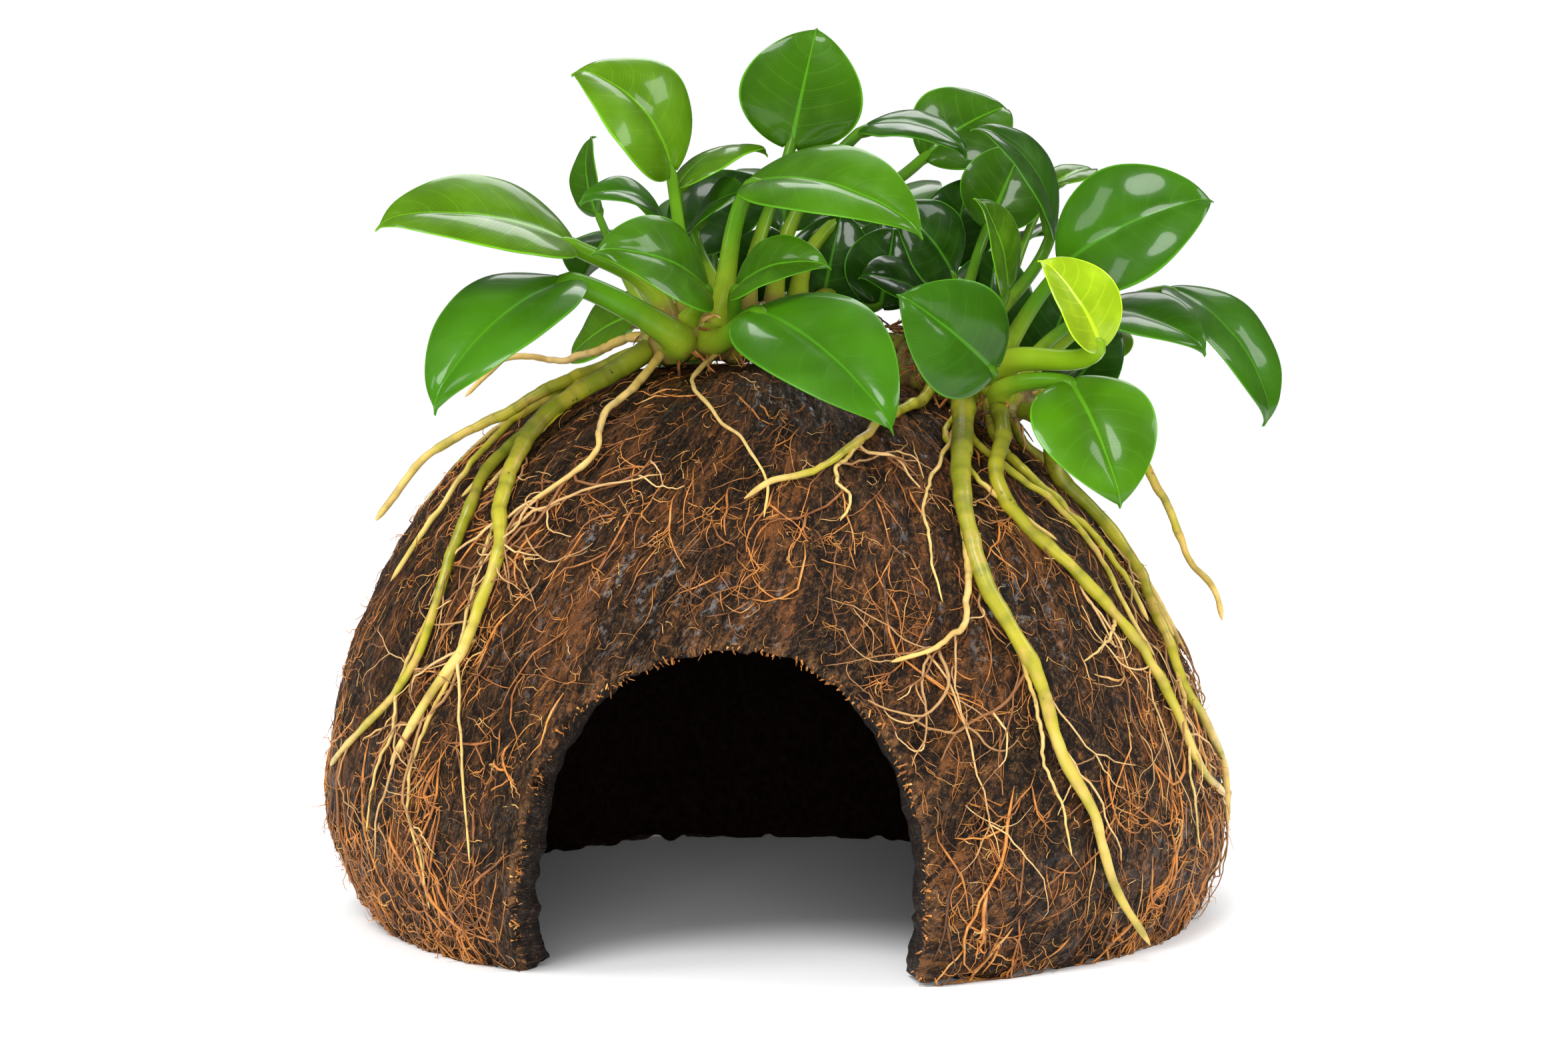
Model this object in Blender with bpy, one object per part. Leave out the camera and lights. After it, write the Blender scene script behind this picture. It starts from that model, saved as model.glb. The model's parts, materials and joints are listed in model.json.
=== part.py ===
"""Anubias grown over half a coconut shell with a doorway, used as an aquarium cave.

The half shell stands on its cut rim, open side down. Two creeping rhizomes lie on its
crown. Leaves on long stalks rise from them, and roots run down over the husk.
The model's axes: +X right, -Y towards the doorway, +Z up, floor at Z = 0.
Sizes below are in millimetres and are turned into metres when a mesh is made.
"""

import math
from collections import namedtuple

import bmesh
import bpy
from mathutils import Matrix, Vector

MM = 0.001
TOUCH_GAP = 0.3

# ---- coconut shell ---------------------------------------------------------------
SHELL_RADIUS = 60.0
SHELL_HEIGHT = 73.0
BELLY_HEIGHT = 15.4
RIM_TAPER = 0.088
DOME_RISE_POWER = 1.557
DOME_ROUND_POWER = 2.508
SHELL_LEAN = -0.071
SHELL_WALL = 5.5
SHELL_SEGMENTS = 40
DOME_RINGS = 8

# Doorway outline as (bearing from the front in degrees, height). It starts under the floor.
DOORWAY = (
    (-37, -4), (-31.5, 13), (-28.5, 25), (-23.5, 33), (-14.5, 38.2), (-5, 40.4),
    (3, 39.6), (9, 36.5), (14, 31), (17, 22), (17.3, 10), (17, -4),
)
DOORWAY_REACH = (25.0, 80.0)
NORMAL_STEP = 0.5
ROUTE_STEPS = 8

# ---- rhizomes --------------------------------------------------------------------
Rhizome = namedtuple("Rhizome", "start end radius")
RHIZOMES = {
    "left": Rhizome((-16, -9, 76.5), (6, 2, 78), 3.6),
    "right": Rhizome((14, -3, 75), (30, -12, 68), 3.4),
}
RHIZOME_STATIONS = 9
RHIZOME_KNOBS = (0.72, 1.0, 0.9, 1.0, 0.86, 0.98, 0.84, 0.92, 0.6)
RHIZOME_BEVEL = 2

# ---- leaves ----------------------------------------------------------------------
STALK_RADIUS = (1.1, 0.8)
STALK_STATIONS = (0.0, 0.33, 0.66, 0.96)
STALK_REACH = 0.36
BLADE_STATIONS = (0.06, 0.22, 0.44, 0.67, 0.87)
BLADE_THICKNESS = 0.8
BLADE_WIDEST_AT = 0.38
BLADE_TIP_POWER = 0.85
LEAF_SIDES = 8
MIDRIB_SHARES = (0.33, 0.7)
CUP_POWER = 1.6
# the blade's section as (share of the half width, share of the thickness)
BLADE_SECTION = (
    (-1, 0), (-0.5, 0.35), (0, 0.5), (0.5, 0.35), (1, 0), (0.5, -0.35), (0, -0.5), (-0.5, -0.35),
)

# rhizome, place along it, angle round it (0 up, 90 to the doorway side), blade base and tip,
# width, direction the upper face looks, arch as a share of the length, cup as a share of
# the half width, and tone
Leaf = namedtuple("Leaf", "rhizome along around base tip width faces arch cup tone")
LEAVES = {
    "leaf_01": Leaf("left", 0.14, 5, (-15, -6, 99), (-28, -8, 112), 18,
                    (0.5, -0.7, 0.6), 0.28, 0.1, "light"),
    "leaf_02": Leaf("left", 0.02, -5, (-28, -14, 89), (-52, -24, 91.5), 17,
                    (0, -0.6, 0.8), 0.14, 0.1, "light"),
    "leaf_03": Leaf("left", 0.02, 95, (-28, -18, 84), (-44, -34, 68), 16,
                    (-0.35, -0.75, 0.6), 0.15, 0.1, "deep"),
    "leaf_04": Leaf("left", 0.1, -85, (-22, 14, 91), (-29, 24, 84), 12,
                    (-0.3, 0.3, 0.9), 0.15, 0.1, "deep"),
    "leaf_05": Leaf("left", 0.1, 50, (-10, -16, 83), (-24, -28, 88), 14,
                    (0.15, -0.8, 0.6), 0.17, 0.1, "mid"),
    "leaf_06": Leaf("left", 0.12, -45, (-17, 8, 93), (-28, 4, 95), 8,
                    (0, -0.5, 0.85), 0.3, 0.1, "deep"),
    "leaf_07": Leaf("left", 0.02, -60, (-26, 14, 94), (-27, 20, 105), 7,
                    (-0.8, -0.4, 0.3), 0.12, 0.2, "mid"),
    "leaf_08": Leaf("left", 0.24, -8, (-14, -2, 97), (-2, 6, 102), 11,
                    (-0.15, -0.1, 1), 0.2, -0.2, "light"),
    "leaf_09": Leaf("left", 0.5, 10, (1, 7, 103), (4.5, 8, 119), 17,
                    (0, -1, 0.15), 0.08, 0.08, "mid"),
    "leaf_10": Leaf("left", 0.3, 40, (-4, -10, 97), (18, -24, 90), 15.5,
                    (-0.1, -0.6, 0.8), 0.17, 0.1, "mid"),
    "leaf_11": Leaf("left", 0.66, 10, (11, 5, 105), (25, 0, 101), 11,
                    (-0.1, -0.35, 0.95), 0.2, 0, "deep"),
    "leaf_12": Leaf("left", 0.82, 0, (20, 18, 102), (32, 23, 109), 15,
                    (0, -0.8, 0.6), 0.15, 0.1, "mid"),
    "leaf_13": Leaf("right", 0.35, -20, (28, 8, 92), (33, 13, 103), 12,
                    (0.1, -0.9, 0.4), 0.1, 0.1, "mid"),
    "leaf_14": Leaf("right", 0.55, -15, (36, 0, 91), (25, -4, 105), 12.5,
                    (0.75, -0.45, 0.5), 0.22, 0.1, "deep"),
    "leaf_15": Leaf("right", 0.5, -60, (38, 16, 98), (44, 22, 100), 6,
                    (0, -0.4, 0.9), 0.1, 0.1, "light"),
    "leaf_16": Leaf("right", 0.78, -15, (37, -10, 86.5), (56, -14, 95), 18,
                    (-0.15, -0.85, 0.5), 0.17, 0.08, "deep"),
    "leaf_17": Leaf("right", 0.95, -20, (41, -8, 80), (55, -16, 75), 12,
                    (0.1, -0.55, 0.85), 0.15, 0.1, "deep"),
    "leaf_18": Leaf("right", 0.9, -60, (52, -2, 83), (64.5, -8, 65), 14.5,
                    (0.6, -0.6, 0.5), 0.2, 0.1, "deep"),
    "leaf_19": Leaf("right", 0.85, 30, (39.5, -27.5, 76), (32, -28, 87), 10.5,
                    (0.5, -0.8, 0.35), 0.14, 0.35, "young"),
    "leaf_20": Leaf("right", 0.65, 20, (29, -12, 83), (25, -17, 95), 9,
                    (0.6, -0.6, 0.5), 0.1, 0.2, "light"),
    "leaf_21": Leaf("right", 0.75, 80, (26, -28, 73), (14, -34, 82.5), 15,
                    (0.1, -0.95, 0.25), 0.12, 0.1, "deep"),
    "leaf_22": Leaf("right", 0.45, 30, (22, -10, 85), (14, -14, 94), 13,
                    (0.35, -0.75, 0.5), 0.12, 0.1, "deep"),
    "leaf_23": Leaf("right", 0.2, 20, (19, 0, 82), (10, -6, 85), 10,
                    (0, -0.7, 0.7), 0.12, 0.1, "deep"),
    "leaf_24": Leaf("left", 0.34, 80, (-6, -18, 83), (6, -26, 86), 10,
                    (-0.15, -0.7, 0.7), 0.2, 0.2, "mid"),
    "leaf_25": Leaf("left", 0.22, 100, (-3, -24, 80), (13.5, -44, 66), 17.5,
                    (0.15, -0.8, 0.55), 0.13, 0.1, "deep"),
    "leaf_26": Leaf("right", 0.95, 70, (36.5, -24, 71), (42, -34, 56), 16,
                    (0.1, -0.85, 0.5), 0.12, 0.1, "mid"),
    "leaf_27": Leaf("left", 0.22, -80, (-20, 18, 80), (-31, 28, 73), 11,
                    (-0.2, -0.7, 0.6), 0.1, 0.1, "light"),
    "leaf_28": Leaf("right", 0.68, -60, (44, 10, 85), (48, 16, 86), 5,
                    (0, -0.6, 0.8), 0.1, 0.1, "light"),
    "leaf_29": Leaf("right", 0.8, -95, (45, 10, 79), (45, 17, 73), 7,
                    (0.2, -0.6, 0.8), 0.1, 0.1, "light"),
    "leaf_30": Leaf("left", 0.36, 0, (-12, 2, 92), (-5, -6, 96), 9,
                    (-0.3, -0.6, 0.7), 0.12, 0.1, "deep"),
    "leaf_31": Leaf("left", 0.4, -60, (-10, 16, 88), (-13, 33, 97), 14,
                    (-0.2, 0.6, 0.75), 0.15, 0.1, "mid"),
    "leaf_32": Leaf("left", 0.56, -50, (0, 18, 92), (-2, 33, 100), 15,
                    (0, 0.6, 0.75), 0.15, 0.1, "deep"),
    "leaf_33": Leaf("left", 0.85, -60, (14, 20, 92), (18, 36, 98), 15,
                    (0.1, 0.6, 0.75), 0.15, 0.1, "mid"),
    "leaf_34": Leaf("right", 0.3, -60, (28, 16, 86), (40, 32, 91), 14,
                    (0.3, 0.6, 0.75), 0.15, 0.1, "deep"),
    "leaf_35": Leaf("left", 0.62, -90, (4, 24, 84), (6, 44, 72), 14,
                    (0, 0.7, 0.7), 0.15, 0.1, "deep"),
    "leaf_36": Leaf("left", 0.34, -95, (-13, 25, 82), (-15, 45, 67), 14,
                    (-0.1, 0.7, 0.6), 0.15, 0.1, "deep"),
    "leaf_37": Leaf("right", 0.2, -95, (24, 26, 80), (30, 44, 68), 14,
                    (0.2, 0.7, 0.7), 0.15, 0.1, "mid"),
    "leaf_38": Leaf("left", 0.3, -45, (-15, 14, 90), (-1, 16, 98), 13,
                    (0.1, -0.8, 0.6), 0.12, 0.1, "deep"),
    "leaf_39": Leaf("left", 0.95, -10, (14, 8, 82), (13, 10, 93), 12,
                    (0.1, -0.9, 0.3), 0.12, 0.1, "deep"),
    "leaf_40": Leaf("right", 0.1, -60, (23, 15, 87), (26, 18, 99), 11,
                    (0, -0.95, 0.25), 0.12, 0.1, "deep"),
}

# ---- roots -----------------------------------------------------------------------
# thickness at the rhizome and at the end, points in the air at the start, then points on
# the husk as (bearing from the front in degrees, height), then points in the air
Root = namedtuple("Root", "thick thin leaves_rhizome on_husk in_air tone")
ROOT_STATIONS = 11
ROOT_LIFT = 0.7
ROOT_BEVEL = 1
ROOTS = {
    "root_01": Root(1.5, 0.6, ((-21, -13, 73),), ((-54, 66), (-49, 60), (-45, 55), (-41, 50),
                    (-41, 44), (-42, 38), (-46, 33), (-52, 24)), (), "green"),
    "root_02": Root(0.95, 0.45, (), ((-57, 60), (-53, 54), (-51, 47), (-50.5, 41), (-52, 35),
                    (-57, 30), (-67, 24), (-73, 21)), (), "green"),
    "root_03": Root(1.1, 0.5, ((-21, -6, 74), (-30, -7, 70.9), (-38, -6, 66.4), (-47, -5, 61.3),
                    (-50.1, -5, 57.9), (-52, -5, 55.6), (-54.5, -5, 52.3)), (), (), "green"),
    "root_04": Root(0.8, 0.4, ((-21, -3, 76.5), (-30, 5, 73.5), (-37, 5, 74), (-40, 5, 72),
                    (-43.5, 5, 68.5)), (), (), "pale"),
    "root_05": Root(1.0, 0.5, ((-19, 0, 74.5),), ((-100, 68), (-104, 62), (-100, 52),
                    (-106, 42), (-102, 33)), (), "green"),
    "root_06": Root(0.7, 0.4, ((-18, -17, 72),), ((-36, 66), (-31, 62), (-36, 58), (-40, 56)),
                    (), "pale"),
    "root_07": Root(0.9, 0.45, ((18, -15, 69),), ((30, 65), (19, 62), (12, 60), (4, 59),
                    (-1, 57)), (), "green"),
    "root_08": Root(1.7, 0.6, ((23, -19, 67.5),), ((39, 58), (34, 51), (33, 46), (34.5, 41),
                    (36.5, 34), (36.5, 27), (39.5, 20), (42.5, 11)), ((45, -41, 2.5),),
                    "green"),
    "root_09": Root(0.65, 0.4, (), ((29, 43.5), (25.5, 41), (21.5, 39.5), (16.5, 38.5)), (), "pale"),
    "root_10": Root(1.2, 0.5, ((28, -21, 65),), ((47, 57), (50, 50), (55, 44), (60, 38),
                    (63, 30), (66, 22), (76, 17)), (), "green"),
    "root_11": Root(1.2, 0.5, ((34, -17, 65.5),), ((74, 58), (78, 52), (76, 45), (71, 38),
                    (70, 31), (76, 25), (83, 19), (81, 12)), (), "green"),
    "root_12": Root(0.9, 0.5, ((35.5, -10, 66.5),), ((92, 58), (88, 50), (90, 42), (86, 34)),
                    (), "green"),
    "root_13": Root(0.9, 0.5, ((36, -8, 69), (44, -6, 64), (49.5, -6, 57), (52.5, -6, 51),
                    (54.5, -6, 46.5), (57.5, -6, 43), (58.5, -6, 39)), (), (), "green"),
    "root_14": Root(0.8, 0.4, ((31, -4, 68),), ((104, 62), (100, 57), (98, 52), (102, 44)),
                    (), "pale"),
    "root_15": Root(1.1, 0.6, ((-14, 6, 75),), ((-150, 67), (-145, 58), (-150, 46), (-143, 34),
                    (-148, 20)), (), "green"),
    "root_16": Root(1.0, 0.5, ((2, 10, 75),), ((174, 67), (170, 57), (178, 46), (172, 35)),
                    (), "green"),
    "root_17": Root(1.2, 0.6, ((24, 3, 70.5),), ((140, 62), (135, 52), (140, 40), (132, 28),
                    (137, 14)), (), "green"),
}

# ---- plain colours: red, green, blue, roughness ----------------------------------
TONES = {
    "husk": (0.09, 0.045, 0.022, 0.9),
    "rhizome": (0.3, 0.3, 0.07, 0.5),
    "green": (0.26, 0.32, 0.05, 0.45),
    "pale": (0.62, 0.5, 0.22, 0.5),
    "young": (0.42, 0.62, 0.04, 0.25),
    "light": (0.16, 0.4, 0.02, 0.25),
    "mid": (0.06, 0.24, 0.015, 0.22),
    "deep": (0.02, 0.12, 0.015, 0.2),
}


def husk_radius(height):
    """Outer radius of the shell at a height, round its leaning middle line."""
    if height < BELLY_HEIGHT:
        drop = (BELLY_HEIGHT - height) / BELLY_HEIGHT
        return SHELL_RADIUS * (1 - RIM_TAPER * drop**2)
    rise = min(1.0, (height - BELLY_HEIGHT) / (SHELL_HEIGHT - BELLY_HEIGHT))
    return SHELL_RADIUS * (1 - rise**DOME_RISE_POWER) ** (1 / DOME_ROUND_POWER)


def husk_point(bearing, height, lift):
    """A point at a bearing and height on the husk, lifted off it along its normal."""
    below = max(0.0, height - NORMAL_STEP)
    above = min(SHELL_HEIGHT, height + NORMAL_STEP)
    slope = (husk_radius(above) - husk_radius(below)) / (above - below)
    outward = 1 / math.hypot(1, slope)
    radius = husk_radius(height) + lift * outward
    level = height - lift * slope * outward
    angle = math.radians(bearing)
    return Vector((
        SHELL_LEAN * level + radius * math.sin(angle), -radius * math.cos(angle), level
    ))


def smooth_route(points, count):
    """Points evenly placed along a smooth curve through the given points."""
    ends = [points[0] * 2 - points[1]] + list(points) + [points[-1] * 2 - points[-2]]
    fine = []
    for a, b, c, d in zip(ends, ends[1:], ends[2:], ends[3:]):
        for step in range(ROUTE_STEPS):
            t = step / ROUTE_STEPS
            fine.append(0.5 * (
                2 * b + (c - a) * t + (2 * a - 5 * b + 4 * c - d) * t**2
                + (3 * b - a - 3 * c + d) * t**3
            ))
    fine.append(points[-1])
    reach = [0.0]
    for a, b in zip(fine, fine[1:]):
        reach.append(reach[-1] + (b - a).length)
    route = []
    at = 0
    for index in range(count):
        wanted = reach[-1] * index / (count - 1)
        while at < len(fine) - 2 and reach[at + 1] < wanted:
            at += 1
        part = (wanted - reach[at]) / (reach[at + 1] - reach[at])
        route.append(fine[at].lerp(fine[at + 1], part))
    return route


def bezier(points, t):
    """Place and direction on a cubic curve."""
    a, b, c, d = points
    place = a * (1 - t) ** 3 + b * 3 * t * (1 - t) ** 2 + c * 3 * t**2 * (1 - t) + d * t**3
    heading = (b - a) * (1 - t) ** 2 + (c - b) * 2 * t * (1 - t) + (d - c) * t**2
    return place, heading.normalized()


def plain_material(name, tone):
    red, green, blue, roughness = TONES[tone]
    material = bpy.data.materials.new(name)
    material.use_nodes = True
    shader = material.node_tree.nodes["Principled BSDF"]
    shader.inputs["Base Color"].default_value = (red, green, blue, 1)
    shader.inputs["Roughness"].default_value = roughness
    shader.inputs["Metallic"].default_value = 0
    return material


def add_object(name, data, tone, parent):
    piece = bpy.data.objects.new(name, data)
    bpy.context.scene.collection.objects.link(piece)
    piece.parent = parent
    if tone:
        data.materials.append(plain_material(name, tone))
    return piece


def mesh_from(bm, name, sharp_angle=35):
    """Finish a bmesh that was built in millimetres as a smooth-shaded mesh in metres."""
    bmesh.ops.recalc_face_normals(bm, faces=bm.faces)
    bmesh.ops.scale(bm, vec=(MM, MM, MM), verts=bm.verts)
    mesh = bpy.data.meshes.new(name)
    bm.to_mesh(mesh)
    bm.free()
    mesh.shade_smooth()
    mesh.set_sharp_from_angle(angle=math.radians(sharp_angle))
    return mesh


def loft(rings, name):
    """Skin a list of rings of points, closing each end with a cap or a single point."""
    bm = bmesh.new()
    rows = [[bm.verts.new(point) for point in ring] for ring in rings]
    for low, high in zip(rows, rows[1:]):
        for side in range(len(low)):
            corners = [low[side], low[(side + 1) % len(low)]]
            if len(high) == 1:
                corners.append(high[0])
            else:
                corners += [high[(side + 1) % len(low)], high[side]]
            bm.faces.new(corners)
    for row in (rows[0], rows[-1]):
        if len(row) > 1:
            bm.faces.new(row)
    return mesh_from(bm, name)


def shell_mesh():
    """Turn the wall's section round the upright axis, then lean it."""
    inner_scale = (SHELL_RADIUS - SHELL_WALL) / SHELL_RADIUS
    inner_height = SHELL_HEIGHT - SHELL_WALL
    outer = [(husk_radius(0), 0.0), (husk_radius(BELLY_HEIGHT / 2), BELLY_HEIGHT / 2)]
    for ring in range(DOME_RINGS):
        share = math.sin(math.pi / 2 * ring / DOME_RINGS)
        height = BELLY_HEIGHT + (SHELL_HEIGHT - BELLY_HEIGHT) * share
        outer.append((husk_radius(height), height))
    inner = [
        (radius * inner_scale, height * inner_height / SHELL_HEIGHT)
        for radius, height in outer
    ]
    section = outer + [(0.0, SHELL_HEIGHT), (0.0, inner_height)] + inner[::-1]
    bm = bmesh.new()
    verts = [bm.verts.new((radius, 0, height)) for radius, height in section]
    walk = list(zip(verts, verts[1:])) + [(verts[-1], verts[0])]
    on_axis = [vert for vert in verts if vert.co.x == 0]
    edges = [bm.edges.new(pair) for pair in walk if set(pair) != set(on_axis)]
    bmesh.ops.spin(
        bm, geom=verts + edges, cent=(0, 0, 0), axis=(0, 0, 1),
        angle=2 * math.pi, steps=SHELL_SEGMENTS, use_merge=True,
    )
    bmesh.ops.remove_doubles(bm, verts=bm.verts, dist=0.01)
    lean = Matrix(((1, 0, SHELL_LEAN), (0, 1, 0), (0, 0, 1)))
    bmesh.ops.transform(bm, matrix=lean.to_4x4(), verts=bm.verts)
    return mesh_from(bm, "coconut_shell")


def doorway_mesh():
    """A wedge with the doorway's outline, wider outwards, that cuts the wall square."""
    rings = []
    for reach in DOORWAY_REACH:
        ring = []
        for bearing, height in DOORWAY:
            angle = math.radians(bearing)
            side = SHELL_LEAN * height
            ring.append(Vector((side + reach * math.sin(angle), -reach * math.cos(angle), height)))
        rings.append(ring)
    return loft(rings, "doorway_cutter")


def add_shell(parent):
    shell = add_object("coconut_shell", shell_mesh(), "husk", parent)
    cutter = add_object("doorway_cutter", doorway_mesh(), None, parent)
    cutter.hide_render = True
    cutter.display_type = "WIRE"
    cut = shell.modifiers.new("Doorway", "BOOLEAN")
    cut.operation = "DIFFERENCE"
    cut.solver = "EXACT"
    cut.object = cutter


def add_tube(name, points, radii, side_resolution, tone, parent):
    """A tapering round stem along a route, as a bevelled curve with filled ends."""
    curve = bpy.data.curves.new(name, "CURVE")
    curve.dimensions = "3D"
    curve.bevel_depth = MM
    curve.bevel_resolution = side_resolution
    curve.use_fill_caps = True
    spline = curve.splines.new("POLY")
    spline.points.add(len(points) - 1)
    for knot, point, radius in zip(spline.points, points, radii):
        knot.co = (point * MM).to_4d()
        knot.radius = radius
    spline.use_smooth = True
    return add_object(name, curve, tone, parent)


def add_rhizome(side, parent):
    rhizome = RHIZOMES[side]
    start, end = Vector(rhizome.start), Vector(rhizome.end)
    steps = range(RHIZOME_STATIONS)
    points = [start.lerp(end, step / (RHIZOME_STATIONS - 1)) for step in steps]
    radii = [rhizome.radius * knob for knob in RHIZOME_KNOBS]
    add_tube("rhizome_" + side, points, radii, RHIZOME_BEVEL, "rhizome", parent)


def add_root(name, root, parent):
    knots = [Vector(point) for point in root.leaves_rhizome]
    for index, (bearing, height) in enumerate(root.on_husk):
        share = index / len(root.on_husk)
        radius = root.thick + (root.thin - root.thick) * share
        knots.append(husk_point(bearing, height, radius + ROOT_LIFT))
    knots += [Vector(point) for point in root.in_air]
    points = smooth_route(knots, ROOT_STATIONS)
    radii = [
        root.thick + (root.thin - root.thick) * step / (ROOT_STATIONS - 1)
        for step in range(ROOT_STATIONS)
    ]
    add_tube(name, points, radii, ROOT_BEVEL, root.tone, parent)


def blade_outline(share):
    """Half width of a blade, 0 to 1, at a share of the way from its base to its tip."""
    base_power = BLADE_TIP_POWER * BLADE_WIDEST_AT / (1 - BLADE_WIDEST_AT)
    base_side = (share / BLADE_WIDEST_AT) ** base_power
    return base_side * ((1 - share) / (1 - BLADE_WIDEST_AT)) ** BLADE_TIP_POWER


def stalk_curve(leaf, heading):
    """The stalk's cubic curve, from the rhizome's surface to the base of the blade."""
    rhizome = RHIZOMES[leaf.rhizome]
    start, end = Vector(rhizome.start), Vector(rhizome.end)
    along = (end - start).normalized()
    front = Vector((along.y, -along.x, 0)).normalized()
    upward = front.cross(along)
    if upward.z < 0:
        upward.negate()
    angle = math.radians(leaf.around)
    launch = upward * math.cos(angle) + front * math.sin(angle)
    foot = start.lerp(end, leaf.along) + launch * (rhizome.radius + TOUCH_GAP)
    base = Vector(leaf.base)
    span = (base - foot).length
    arrive = ((base - foot) / span + heading).normalized()
    return (
        foot, foot + launch * span * STALK_REACH, base - arrive * span * STALK_REACH, base
    )


def leaf_rings(leaf):
    base, tip = Vector(leaf.base), Vector(leaf.tip)
    chord = tip - base
    upper = Vector(leaf.faces)
    upper = (upper - chord * upper.dot(chord) / chord.length_squared).normalized()
    rise = upper * leaf.arch * chord.length
    near, far = MIDRIB_SHARES
    midrib = (base, base + chord * near + rise, base + chord * far + rise, tip)
    stalk = stalk_curve(leaf, bezier(midrib, 0)[1])
    rings = []
    frame = None
    for share in reversed(STALK_STATIONS):
        place, heading = bezier(stalk, share)
        across = heading.cross(upper if frame is None else frame).normalized()
        frame = across.cross(heading).normalized()
        radius = STALK_RADIUS[0] + (STALK_RADIUS[1] - STALK_RADIUS[0]) * share
        ring = []
        for side in range(LEAF_SIDES):
            angle = math.pi - 2 * math.pi * side / LEAF_SIDES
            ring.append(place + (across * math.cos(angle) + frame * math.sin(angle)) * radius)
        rings.insert(0, ring)
    for share in BLADE_STATIONS:
        place, heading = bezier(midrib, share)
        across = heading.cross(upper).normalized()
        up = across.cross(heading).normalized()
        half = leaf.width / 2 * blade_outline(share)
        ring = []
        for edge, layer in BLADE_SECTION:
            lift = leaf.cup * half * abs(edge) ** CUP_POWER + layer * BLADE_THICKNESS
            ring.append(place + across * half * edge + up * lift)
        rings.append(ring)
    rings.append([tip])
    return rings


def centre_on_origin(root):
    """Move the whole plant so that the middle of its footprint is the origin."""
    bpy.context.view_layer.update()
    graph = bpy.context.evaluated_depsgraph_get()
    lows, highs = [], []
    for piece in root.children:
        if piece.hide_render:
            continue
        solid = piece.evaluated_get(graph)
        shape = solid.to_mesh()
        places = [solid.matrix_world @ vert.co for vert in shape.vertices]
        for low_high, pick in ((lows, min), (highs, max)):
            low_high.append([pick(place[axis] for place in places) for axis in range(2)])
        solid.to_mesh_clear()
    for axis in range(2):
        low = min(row[axis] for row in lows)
        high = max(row[axis] for row in highs)
        root.location[axis] = -(low + high) / 2


def main():
    for old in list(bpy.data.objects):
        bpy.data.objects.remove(old)
    root = bpy.data.objects.new("anubias_cave", None)
    bpy.context.scene.collection.objects.link(root)
    add_shell(root)
    for side in RHIZOMES:
        add_rhizome(side, root)
    for name, leaf in LEAVES.items():
        add_object(name, loft(leaf_rings(leaf), name), leaf.tone, root)
    for name, route in ROOTS.items():
        add_root(name, route, root)
    centre_on_origin(root)


main()
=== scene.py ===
"""Dwarf anubias grown over half a coconut shell with a doorway, as a finished model.

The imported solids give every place. Each of them is shown by a detailed piece made here:
the fibrous husk, its loose coir, the rhizomes, the leaves with their stalks and the roots.
Lengths in this file are in millimetres until a mesh is finished, unless a name says metres.
"""

import json
import math
from collections import namedtuple

import bpy
import numpy as np
from bpy.props import FloatProperty, FloatVectorProperty, IntProperty, PointerProperty
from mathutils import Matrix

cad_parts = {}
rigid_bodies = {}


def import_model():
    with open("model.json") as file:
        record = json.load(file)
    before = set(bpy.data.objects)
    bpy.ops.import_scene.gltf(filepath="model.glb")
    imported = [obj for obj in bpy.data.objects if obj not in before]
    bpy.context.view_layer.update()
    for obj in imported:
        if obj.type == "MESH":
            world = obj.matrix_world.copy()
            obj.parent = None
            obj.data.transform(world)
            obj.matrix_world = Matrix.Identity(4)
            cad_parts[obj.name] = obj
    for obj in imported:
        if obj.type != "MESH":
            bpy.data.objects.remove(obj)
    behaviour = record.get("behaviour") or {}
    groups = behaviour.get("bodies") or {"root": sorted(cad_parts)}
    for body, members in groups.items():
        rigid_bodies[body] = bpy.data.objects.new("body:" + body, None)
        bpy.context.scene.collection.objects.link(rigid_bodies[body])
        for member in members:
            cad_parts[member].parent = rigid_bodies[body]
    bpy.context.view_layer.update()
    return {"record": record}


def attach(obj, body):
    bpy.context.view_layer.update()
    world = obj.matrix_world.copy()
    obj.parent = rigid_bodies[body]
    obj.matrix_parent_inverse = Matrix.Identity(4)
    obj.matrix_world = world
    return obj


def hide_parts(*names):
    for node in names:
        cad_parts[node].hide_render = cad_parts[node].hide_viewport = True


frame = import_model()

bl_info = {
    "name": "Anubias on Coconut Cave",
    "version": (1, 0, 0),
    "blender": (4, 5, 0),
    "location": "3D View > Sidebar > Anubias Cave",
    "description": "Dwarf anubias with roots and rhizomes, grown over a half coconut shell",
    "category": "Add Mesh",
}

MM = 0.001
FULL_TURN = 2 * math.pi
RIM_REST_Y = 52.2
RIM_REST = frame["record"]["mounts"][0]["pos_m"]
SHELL_FOOT = np.array((RIM_REST[0], RIM_REST[1] - RIM_REST_Y * MM, 0.0))

# ---- coconut shell ---------------------------------------------------------------
SHELL_RADIUS = 60.0
SHELL_HEIGHT = 73.0
BELLY_HEIGHT = 15.4
RIM_TAPER = 0.088
DOME_RISE_POWER = 1.557
DOME_ROUND_POWER = 2.508
SHELL_LEAN = -0.071
SHELL_WALL = 5.5
DOORWAY = (
    (-37, -4), (-31.5, 13), (-28.5, 25), (-23.5, 33), (-14.5, 38.2), (-5, 40.4),
    (3, 39.6), (9, 36.5), (14, 31), (17, 22), (17.3, 10), (17, -4),
)

# ---- rhizomes --------------------------------------------------------------------
Rhizome = namedtuple("Rhizome", "start end radius")
RHIZOMES = {
    "left": Rhizome((-16, -9, 76.5), (6, 2, 78), 3.6),
    "right": Rhizome((14, -3, 75), (30, -12, 68), 3.4),
}

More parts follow.
